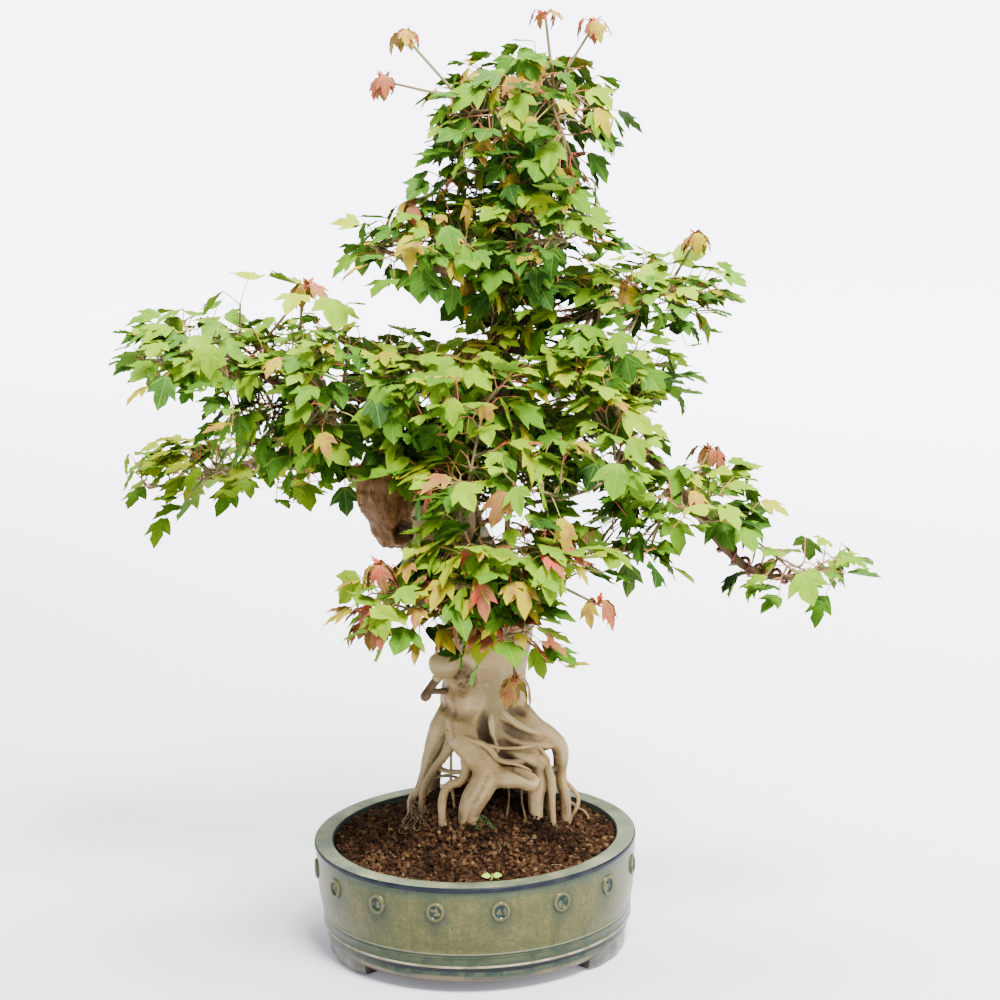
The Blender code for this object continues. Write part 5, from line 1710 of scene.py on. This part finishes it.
def paint_shade_and_highlights(obj):
    """Paint shade where other parts of the wood hide it from the light and in its hollows, and paint
    highlights on its ridges.
    """
    mesh = obj.data
    size = len(mesh.vertices)
    hidden = levelled(mesh, hidden_shares(mesh), 3)
    places, normals, tones = np.empty(size * 3), np.empty(size * 3), np.empty(size * 4)
    mesh.vertices.foreach_get("co", places)
    mesh.vertices.foreach_get("normal", normals)
    mesh.attributes["tone"].data.foreach_get("color", tones)
    places, normals, tones = places.reshape(-1, 3) / MM, normals.reshape(-1, 3), tones.reshape(-1, 4)
    smooth = np.stack([levelled(mesh, column, 40) for column in places.T], 1)
    ridge = ((places - smooth) * normals).sum(1)
    # tone 0: painted shade where the wood shuts a point in, less a painted highlight on ridges, on a base of
    # 0.22 for all but the stub
    dark = tones[:, 0] + np.clip((hidden - 0.15) * 1.35, 0.0, 0.58) - np.clip(ridge * 0.13, -0.5, 0.22)
    tones[:, 0] = np.clip(0.22 * (1.0 - tones[:, 1]) + dark, 0.0, 1.0)
    set_tones(mesh, tones)


def rows_to_line(rows):
    return [(spot(r), r[3]) for r in rows]


def make_wood(bark, branch_bark):
    """The trunk with its roots in one worked skin, and the thinner limbs."""
    limbs = [("trunk", TRUNK[:BOLE]), ("stub", STUB), ("trunk", KNOB), ("root", BACK_LEFT)]
    limbs += [("root", rows) for rows in BULGES]
    limbs += [("root", rows) for name, rows in ROOTS.items() if name not in (*SLIM, "back_left")]
    parts = [stems(f"limb_{k}", [rows_to_line(rows)], bark, corners=6, resolution=6)
             for k, (_, rows) in enumerate(limbs)]
    trunk = join(parts, "trunk")
    trunk.data.remesh_voxel_size = VOXEL * MM
    only(trunk)
    bpy.ops.object.voxel_remesh()
    soft = trunk.modifiers.new("smooth", "SMOOTH")
    soft.factor, soft.iterations = 0.5, 7
    bpy.ops.object.modifier_apply(modifier=soft.name)
    carve(limbs, trunk)
    paint_shade_and_highlights(trunk)
    trunk.data.shade_smooth()
    settle(trunk, ["wood"])
    make_slim_roots(bark)
    make_branches(branch_bark)


def make_slim_roots(bark):
    """The thin surface roots, the knob's ball with its curled horn, and the spur."""
    rows_of = [ROOTS[name] for name in SLIM] + THIN_ROOTS + [CURL, SPUR]
    parts = [stems(f"slim_{k}", [rows_to_line(rows)], bark, corners=3, resolution=8)
             for k, rows in enumerate(rows_of)]
    bpy.ops.mesh.primitive_uv_sphere_add(segments=48, ring_count=28, radius=BALL_RADIUS * MM,
                                         location=BALL * MM)
    bpy.ops.transform.resize(value=(1.05, 1.0, 0.93))
    bpy.ops.object.transform_apply(location=True, rotation=True, scale=True)
    parts.append(bpy.context.object)
    parts[-1].data.materials.append(bark)
    slim = join(parts, "slim_roots")
    tones = []
    for vert in slim.data.vertices:
        p = vert.co / MM
        knob = (p - BALL).length < BALL_RADIUS + 3.6
        lumps = bump_at(p, 11.0, 3.0) * 1.4 if knob else bump_at(p, 7.0, 3.0) * 0.45
        vert.co += vert.normal * ((lumps + bump_at(p, 3.0, 5.0) * 0.2) * MM)
        low = max(0.0, min(1.0, 1.0 - (p.z - mound_height(p.x, p.y)) / 34.0)) ** 1.5
        dark = 0.05 if knob else 0.95 if p.z > 205.0 else 0.12
        if p.y > -37.5 and 23.0 < p.x < 43.0 and p.z < 143.0:
            dark = 0.75
        # painted shade on undersides that face down
        tones.append((min(1.0, dark + max(0.0, -vert.normal.z) * 0.4), 0.0, low, 1.0))
    set_tones(slim.data, tones)
    slim.data.shade_smooth()
    settle(slim, ["wood"])


def make_branches(branch_bark):
    """The upper trunk and the woody branches: full where wire is wound on them, and leaner elsewhere."""
    wired = [branch for branch, _, _ in WIRED.values()]
    thin = [("branch", TRUNK[SLEEVE:])] + [("branch", BRANCHES[name]) for name in wired]
    bare = [name for name in BRANCHES if name not in wired]
    for share, in_front in ((LEAN_BRANCH, False), (LEAN_FRONT, True)):
        thin += [("branch", [(*row[:3], row[3] * share) for row in BRANCHES[name]])
                 for name in bare if name.startswith("front") == in_front]
    parts = [stems(f"branch_{k}", [rows_to_line(rows)], branch_bark, corners=4, resolution=12)
             for k, (_, rows) in enumerate(thin)]
    branches = join(parts, "branches")
    samples, tree = limb_samples(thin)
    for vert in branches.data.vertices:
        p = vert.co / MM
        radius = nearest_limb(p, samples, tree)[2]
        knots = bump_at(p, 9.0, 2.0) * 0.20 + bump_at(p, 3.5, 6.0) * 0.08
        vert.co += vert.normal * (knots * radius * MM)
    settle(branches, ["wood"])


def make_wires(mat):
    """Round wire wound on three branches."""
    for name, (branch, first, last) in WIRED.items():
        rows = BRANCHES[branch]
        whole = sum((spot(b) - spot(a)).length for a, b in zip(rows, rows[1:]))
        turns = (last - first) * whole / WIRE_PITCH
        steps = int(turns * WIRE_STEPS)
        across, line = None, []
        for i in range(steps + 1):
            place, along, radius = route(rows, first + (last - first) * i / steps)
            if across is None:
                across = along.orthogonal()
            across = (across - along * across.dot(along)).normalized()
            third = along.cross(across)
            turn = 2.0 * math.pi * i / WIRE_STEPS
            reach = radius + 0.5 + WIRE_RADIUS
            line.append((place + (across * math.cos(turn) + third * math.sin(turn)) * reach, WIRE_RADIUS))
        wire = stems(f"wound_{name}", [line], mat, corners=4, rounded=False)
        settle(wire, [f"wire_{name}"])


# Pot

POT_PROFILE = [
    (12.0, 17.0), (12.0, 8.4), (60.0, 8.4), (116.6, 8.4), (118.6, 8.9), (120.6, 11.0), (122.0, 13.4),
    (122.6, 15.4), (122.7, 17.2), (122.5, 19.0), (122.4, 20.2), (123.2, 21.2), (124.6, 22.3),
    (125.2, 23.0), (125.1, 23.7), (124.6, 24.4), (124.4, 25.4), (124.4, 30.0), (124.7, 30.5),
    (125.1, 31.1), (125.2, 31.7), (124.9, 32.2), (124.8, 32.8), (125.1, 33.3), (125.4, 33.9),
    (125.3, 34.5), (125.1, 35.2), (125.6, 38.0), (126.6, 43.0), (127.5, 48.0), (128.3, 56.0),
    (128.8, 64.0), (129.0, 72.0), (128.8, 80.0), (128.5, 83.4), (128.4, 84.8), (128.7, 85.5),
    (129.5, 85.9), (130.0, 86.6), (130.0, 88.6), (129.7, 89.4), (128.9, 89.9), (127.6, 90.0),
    (119.0, 90.0), (115.6, 89.8), (114.8, 89.4), (114.4, 88.4), (112.3, 60.0), (109.6, 27.0),
    (102.0, 17.0), (50.0, 17.0),
]
LIP_FACES = (85.6, 89.7)


def stud_model(mat):
    """A raised oval boss: a soft ring round a hollow with a domed middle."""
    rings = [(8.7, -1.6), (8.6, 0.2), (8.1, 1.2), (7.4, 2.0), (6.5, 2.3), (5.7, 1.9), (5.1, 1.1), (4.3, 0.5),
             (3.1, 0.9), (1.7, 1.4), (0.25, 1.5)]
    obj = lathe("stud", rings, 28, mat, closed=False)
    with editing(obj):
        bpy.ops.mesh.select_all(action="DESELECT")
        bpy.ops.mesh.select_non_manifold()
        bpy.ops.mesh.edge_face_add()
        bpy.ops.mesh.select_all(action="SELECT")
        bpy.ops.mesh.normals_make_consistent(inside=False)
    return obj


def stud_tones(model, number):
    """Teal in patches of the hollow and below the boss, ochre on the ring."""
    tones = []
    for vert in model.data.vertices:
        x, y = vert.co.x / MM, vert.co.y / MM
        ring = math.hypot(x, y)
        high = max(-1.0, min(1.0, y / 4.5))
        patch = noise.noise(Vector((x / 3.2 + number * 5.0, y / 3.2, number * 3.0)))
        hollow = edge = 0.0
        if ring < 5.3:
            hollow = 0.95 if patch > -0.12 or ring > 4.5 else 0.2
            edge = 0.40 if patch < -0.12 and ring < 4.5 else 0.0
        elif ring < 7.9:
            edge = 0.20 + 0.14 * high
        else:
            hollow = 0.40 - 0.35 * high
        tones.append((hollow, edge, 0.0, 1.0))
    return tones


def make_pot(mats):
    """The turned drum with its lip line, its ring of studs and its feet."""
    glaze, lip, foot = mats
    pot = lathe("glazed_pot", POT_PROFILE + POT_PROFILE[:1], 192, glaze)
    pot.data.materials.append(lip)
    for face in pot.data.polygons:
        z = face.center.z / MM
        out = math.hypot(face.center.x, face.center.y) / MM
        band = LIP_FACES[0] < z < LIP_FACES[1] and out > 128.0
        line = 114.0 < out < 115.7 and z > 88.3
        face.material_index = 1 if band or line else 0
        face.use_smooth = True
    stud = stud_model(glaze)
    wanted = []
    for k in range(STUDS):
        degrees = FIRST_STUD + 360.0 * k / STUDS
        out = around(degrees, 1.0, 0.0)
        middle = around(degrees, STUD_SEAT - STUD_SUNK, STUD_Z) * MM
        wanted.append((0, turned_to(UP.cross(out) * 0.93, UP, out, middle), (0.0, 0.0, 0.0)))
    studs = copies("studs", [stud], wanted)
    set_tones(studs.data, [stud_tones(stud, k) for k in range(STUDS)])
    discard([stud])
    halo = []
    for vert in pot.data.vertices:
        p = vert.co / MM
        turn = math.degrees(math.atan2(p.x, -p.y)) - FIRST_STUD
        step = 360.0 / STUDS
        off = (turn - step * round(turn / step)) * math.radians(1.0) * STUD_SEAT
        drop = math.hypot(off, (p.z - STUD_Z + 2.5) * 0.8)
        near = max(0.0, 1.0 - max(0.0, drop - 8.0) / 5.0) if math.hypot(p.x, p.y) > 126.0 else 0.0
        halo.append((0.55 * near, 0.0, 0.0, 1.0))
    set_tones(pot.data, halo)
    feet = [make_foot(degrees, foot) for degrees in FEET]
    piece = join([pot, studs] + feet, "glazed_pot")
    settle(piece, ["pot"])


def make_foot(degrees, mat):
    """A curved foot with a scalloped outer face, thicker in its middle, its inside bare."""
    rows = 24
    levels = ((FOOT_INNER + 1.5, 0.2), (FOOT_INNER + 0.6, 5.0), (FOOT_INNER, 11.8),
              (FOOT_BULGE - 1.7, 15.8), (FOOT_BULGE - 0.4, 11.5), (FOOT_BULGE, 7.0), (FOOT_BULGE - 0.6, 3.6),
              (FOOT_OUTER + 1.2, 1.2), (FOOT_OUTER - 0.4, 0.2))
    verts, faces = [], []
    for i in range(rows + 1):
        share = 2.0 * i / rows - 1.0
        angle = degrees + share * FOOT_SPAN / 2.0
        inset = 3.5 * abs(share) ** 3
        lobes = 0.9 * abs(math.sin(3.0 * math.pi * (share + 1.0) / 2.0))
        lift = 2.6 * max(0.0, abs(share) - 0.55)
        for k, (radius, z) in enumerate(levels):
            inner = k < 3
            r = radius + inset if inner else radius - inset * 0.8 + lobes - 0.9
            verts.append(around(angle, r, z + (lift if z < 1.0 else 0.0)) * MM)
    count = len(levels)
    for i in range(rows):
        for k in range(count):
            a, b = count * i + k, count * i + (k + 1) % count
            faces.append((a, b, b + count, a + count))
    faces.append(tuple(range(count - 1, -1, -1)))
    faces.append(tuple(count * rows + k for k in range(count)))
    mesh = bpy.data.meshes.new("foot")
    mesh.from_pydata([tuple(v) for v in verts], [], faces)
    mesh.materials.append(mat)
    obj = added("foot", mesh)
    with editing(obj):
        bpy.ops.mesh.normals_make_consistent(inside=False)
    mesh.shade_smooth()
    bpy.ops.object.shade_smooth_by_angle(angle=math.radians(50))
    tones = []
    for vert in mesh.vertices:
        out = math.hypot(vert.co.x, vert.co.y) / MM
        bare = 1.0 if out < FOOT_INNER + 6.0 or vert.co.z < 0.9 * MM else 0.0
        tones.append((0.0, 0.0, bare, 1.0))
    set_tones(mesh, tones)
    return obj


# Soil

def lump_model(name, seed, mat):
    """A broken clay granule: a coarse ball with its corners pushed about."""
    rng = random.Random(seed)
    bpy.ops.mesh.primitive_ico_sphere_add(subdivisions=1, radius=0.56)
    obj = bpy.context.object
    obj.name = name
    stretch = Vector((rng.uniform(1.0, 1.3), rng.uniform(0.8, 1.0), rng.uniform(0.7, 0.95)))
    for vert in obj.data.vertices:
        vert.co *= rng.uniform(0.78, 1.2)
        vert.co = Vector([c * k for c, k in zip(vert.co, stretch)])
    obj.data.materials.append(mat)
    return obj


def strewn(where, axis, turn, size):
    """The matrix of a grain at a place, turned about an axis, with a size along each of its own."""
    return (Matrix.Translation(Vector(where) * MM) @ Matrix.Rotation(turn, 4, axis)
            @ Matrix.Diagonal((*(Vector(size) * MM), 1.0)))


def make_mound(mat):
    """The soil's body, to the pot's wall and floor, with a soft and uneven top."""
    rings = [(0.6, 18.6), (60.0, 18.6), (101.2, 18.6), (108.8, 27.6), (111.6, 60.0), (113.3, 85.4)]
    radius = 112.0
    while radius > 2.0:
        rings.append((radius, mound_height(radius, 0.0) - 1.6))
        radius -= 3.0
    rings.append((0.6, mound_height(0.0, 0.0) - 1.6))
    mound = lathe("soil_mound", rings + rings[:1], 120, mat)
    for vert in mound.data.vertices:
        p = vert.co / MM
        if p.z > MOUND_FOOT:
            vert.co.z += (ground(p.x, p.y) - mound_height(p.x, p.y)
                          + bump_at(p, 9.0) * 1.6 + bump_at(p, 4.0) * 0.8) * MM
    mound.data.shade_smooth()
    set_tones(mound.data, np.tile((0.1, 0.0, 0.0, 1.0), (len(mound.data.vertices), 1)))
    settle(mound, ["soil"])


def make_granules(rng, mat):
    """Single granules all over the mound, dark where it is wet."""
    lumps = [lump_model(f"lump_{k}", 50 + k, mat) for k in range(6)]
    wanted = []
    while len(wanted) < GRANULES:
        reach = MOUND_EDGE * math.sqrt(rng.random())
        turn = rng.uniform(0, 2 * math.pi)
        size = rng.uniform(*GRANULE_SIZE) * (0.6 if rng.random() < 0.25 else 1.0)
        reach = min(reach, MOUND_EDGE + 0.4 - size * 0.6)
        x, y = reach * math.cos(turn), reach * math.sin(turn)
        z = ground(x, y) + (bump_at(Vector((x, y, 0)), 9.0) * 1.6) - 1.0 + size * rng.uniform(-0.1, 0.34)
        turn = rng.uniform(0, 6.28)
        axis = unit([rng.gauss(0, 1) for _ in range(3)])
        m = strewn((x, y, z), axis, turn, (size, size, size))
        wet = max(0.0, 1.0 - math.hypot(x - WET[0], y - WET[1]) / WET_REACH) * 0.40
        hue = min(max(0.5 + rng.gauss(0.0, 0.2) - wet + bump_at(Vector((x, y, 9)), 26.0) * 0.35, 0.0), 1.0)
        pale = rng.uniform(0.3, 0.8) if rng.random() < 0.03 else 0.0
        wanted.append((rng.randrange(len(lumps)), m, (hue, pale, rng.random())))
    grains = copies("granules", lumps, wanted)
    for face in grains.data.polygons:
        face.use_smooth = False
    settle(grains, [])
    discard(lumps)


# Tufts of moss: x, y and reach
MOSS = [(8, -50, 5.0), (14, -53, 3.0), (3, -56, 2.5), (57, -12, 3.0), (66, -30, 2.5), (24, -64, 1.6),
        (-66, -30, 1.6), (-30, 60, 6), (30, 70, 5)]


def make_moss(rng, mat):
    """Small green lumps, close together in each tuft and higher in its middle."""
    wanted = []
    tufts = [lump_model(f"tuft_{k}", 80 + k, mat) for k in range(4)]
    for x, y, reach in MOSS:
        for _ in range(int(reach * reach * 2.4)):
            turn, share = rng.uniform(0, 6.28), math.sqrt(rng.random())
            px, py = x + math.cos(turn) * share * reach, y + math.sin(turn) * share * reach
            z = ground(px, py) + 0.4 + (1 - share) * reach * 0.2
            size = rng.uniform(0.6, 1.4)
            turn = rng.uniform(0, 6.28)
            m = strewn((px, py, z), unit((0.3, rng.random(), 1)), turn, (size, size, size * 1.5))
            wanted.append((rng.randrange(len(tufts)), m, (rng.random(), 0.0, 0.0)))
    settle(copies("moss", tufts, wanted), [])
    discard(tufts)


def make_hair_roots(rng, mat):
    """Hair roots that come down from the left root, and a few that lie loose on the soil."""
    hairs = []
    for _ in range(20):
        start = Vector((rng.uniform(-53, -46), rng.uniform(-8, 2), rng.uniform(112, 126)))
        end = Vector((rng.uniform(-60, -35), rng.uniform(-43, -10), 0.0))
        line = [(start, 0.5)]
        for share in (0.3, 0.55, 0.8, 1.0):
            place = start.lerp(end, share) + Vector((rng.gauss(0, 2.8), rng.gauss(0, 2.8), 0.0))
            level = ground(place.x, place.y) + 1.2
            place.z = max(level, start.z - (start.z - level) * min(1.0, share * 1.7)) + rng.uniform(0.0, 0.8)
            line.append((place, 0.42 - 0.24 * share))
        hairs.append(line)
    for _ in range(6):
        x, y = rng.uniform(-70, 80), rng.uniform(-85, -20)
        line, turn = [], rng.uniform(0, 6.28)
        for k in range(4):
            line.append(((x, y, ground(x, y) + 1.3), 0.34 - 0.05 * k))
            turn += rng.gauss(0, 0.5)
            x, y = x + math.cos(turn) * 3.0, y + math.sin(turn) * 3.0
        hairs.append(line)
    settle(stems("hair_roots", hairs, mat, corners=0), [])


def make_sprout(mats):
    """The seedling in the front of the soil: a stem and two bright blades."""
    x, y = SPROUT
    top = mound_height(x, y)
    model = leaf_model("seed_leaf", (PLAIN_HALF, 0.2, 0.15, 0.2, 0.0, 1.1), mats[:1] * 2)
    wanted = []
    for side in (-1.0, 1.0):
        leaf = leaf_at((x + side, y, top + 2.6), unit((side, -0.25, 0.22)), 7.0, Vector((0, -0.5, 1)))
        wanted.append((0, leaf_matrix(leaf), (0.72, 0.0, 0.2)))
    blades = copies("seedling", [model], wanted)
    stem = stems("stem", [[((x, y, top - 7), 0.8), ((x, y, top), 0.8), ((x, y, top + 3), 0.7)]], mats[1],
                 corners=1)
    settle(join([blades, stem], "seedling"), ["sprout"])
    discard([model])


def make_withered(mats):
    """Dead curled leaves caught above the stub."""
    model = leaf_model("withered", (DEEP_HALF, 0.9, 0.5, 0.8, 0.4, 0.8), mats[:1] * 2)
    wanted, stalks = [], []
    rng = random.Random(3)
    for place in ((-32, -30, 432), (-22, -34, 440), (-14, -30, 427), (-40, -26, 424), (-6, -30, 436)):
        leaf = leaf_at(place, unit((rng.gauss(0, 1), -0.6, rng.uniform(-0.9, -0.2))), rng.uniform(15, 24),
                       Vector((rng.gauss(0, 0.5), -1.0, 0.6)))
        wanted.append((0, leaf_matrix(leaf, 0.7), (0.0, 0.0, rng.random())))
        stalks.append([(leaf["base"] + Vector(step), 0.4) for step in ((2, 6, 8), (1, 3, 5), (0, 0, 0))])
    dead = join([copies("withered_leaves", [model], wanted), stems("stalk", stalks, mats[0], corners=0)],
                "withered_leaves")
    settle(dead, [])
    discard([model])


# Stage

def emitter(name, place, target, size, power, colour):
    """A round soft light at a place, aimed at a target."""
    light = bpy.data.lights.new(name, "AREA")
    light.shape, light.size, light.energy, light.color = "DISK", size, power, colour
    obj = added(name, light)
    obj.location = place
    obj.rotation_euler = (Vector(target) - Vector(place)).to_track_quat("-Z", "Y").to_euler()


def make_stage():
    """A pale floor that runs on to the horizon and glows behind the object, under a large soft sky."""
    bpy.ops.mesh.primitive_circle_add(vertices=96, radius=60.0, fill_type="NGON", location=(0, 0, -0.0004))
    floor = bpy.context.object
    floor.name = "floor"
    bpy.ops.object.transform_apply()
    f = Finish("glowing_floor", 0.8, specular=0.2)
    x, y, _ = f.axes(f.place())
    aside = (abs(x) - (y + 2.2) * 0.2).between(0.0, 1.2)
    # painted glow: the floor emits light behind the object, standing in for a lit backdrop
    glow = f.mix((y + x * 0.5).between(-0.5, 3.3) * (1 - aside), (0.0, 0.0, 0.0), GLOW)
    f.shader.inputs["Emission Strength"].default_value = 1.0
    f.tree.links.new(glow.socket, f.shader.inputs["Emission Color"])
    f.shader.inputs["Base Color"].default_value = (0.72, 0.73, 0.75, 1.0)
    floor.data.materials.append(f.mat)
    world = bpy.data.worlds.new("studio")
    bpy.context.scene.world = world
    world.use_nodes = True
    sky = world.node_tree.nodes["Background"]
    sky.inputs["Color"].default_value = (0.93, 0.97, 1.0, 1.0)
    sky.inputs["Strength"].default_value = SKY
    emitter("key", (0.55, -1.4, 2.6), (0.0, 0.0, 0.35), 0.9, 290.0, (1.0, 0.98, 0.93))
    emitter("fill", (2.0, -1.5, 1.5), (0.0, 0.0, 0.3), 1.6, 36.0, (0.98, 0.99, 1.0))
    emitter("top", (0.2, 0.4, 2.8), (0.0, 0.0, 0.4), 1.4, 185.0, (1.0, 1.0, 0.96))


def place_camera():
    """The photograph's camera, from its place and its three angles."""
    camera = bpy.data.cameras.new("camera")
    camera.lens, camera.sensor_width = CAMERA_LENS, 36.0
    camera.dof.use_dof = False
    obj = added("camera", camera)
    yaw, pitch, roll = (math.radians(a) for a in (CAMERA_YAW, CAMERA_PITCH, CAMERA_ROLL))
    forward = Vector((math.sin(yaw) * math.cos(pitch), math.cos(yaw) * math.cos(pitch), -math.sin(pitch)))
    right = Vector((math.cos(yaw), -math.sin(yaw), 0.0))
    up = right.cross(forward)
    turned = right * math.cos(roll) - up * math.sin(roll)
    up = up * math.cos(roll) + right * math.sin(roll)
    obj.matrix_world = turned_to(turned, up, -forward, CAMERA_PLACE + HOME)
    bpy.context.scene.camera = obj


def main():
    leaf_mats = [blade_finish("leaf_top"), blade_finish("leaf_under", under=True), petiole_finish(),
                 twig_finish()]
    make_foliage(leaf_mats)
    make_wood(bark_finish(), branch_finish())
    make_wires(wire_finish())
    make_pot((glaze_finish(), lip_finish(), foot_finish()))
    clay = granule_finish()
    rng = random.Random(23)
    make_mound(clay)
    make_granules(rng, clay)
    make_moss(rng, plain_finish("moss", (0.012, 0.035, 0.010), (0.06, 0.10, 0.02), 300.0, 0.8))
    make_hair_roots(rng, plain_finish("hair_root", (0.09, 0.052, 0.026), (0.22, 0.145, 0.080), 120.0))
    make_sprout((plain_finish("seedling_leaf", (0.20, 0.42, 0.03), (0.42, 0.62, 0.06), 200.0, 0.4),
                 plain_finish("seedling_stem", (0.38, 0.40, 0.10), (0.48, 0.42, 0.16), 200.0)))
    make_withered((plain_finish("withered", (0.16, 0.085, 0.04), (0.36, 0.22, 0.11), 90.0),))
    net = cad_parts["drain_net"]
    net.data.materials.clear()
    net.data.materials.append(plain_finish("net_plastic", (0.02, 0.035, 0.03), (0.03, 0.05, 0.04), 80.0, 0.5))
    make_stage()
    place_camera()


main()
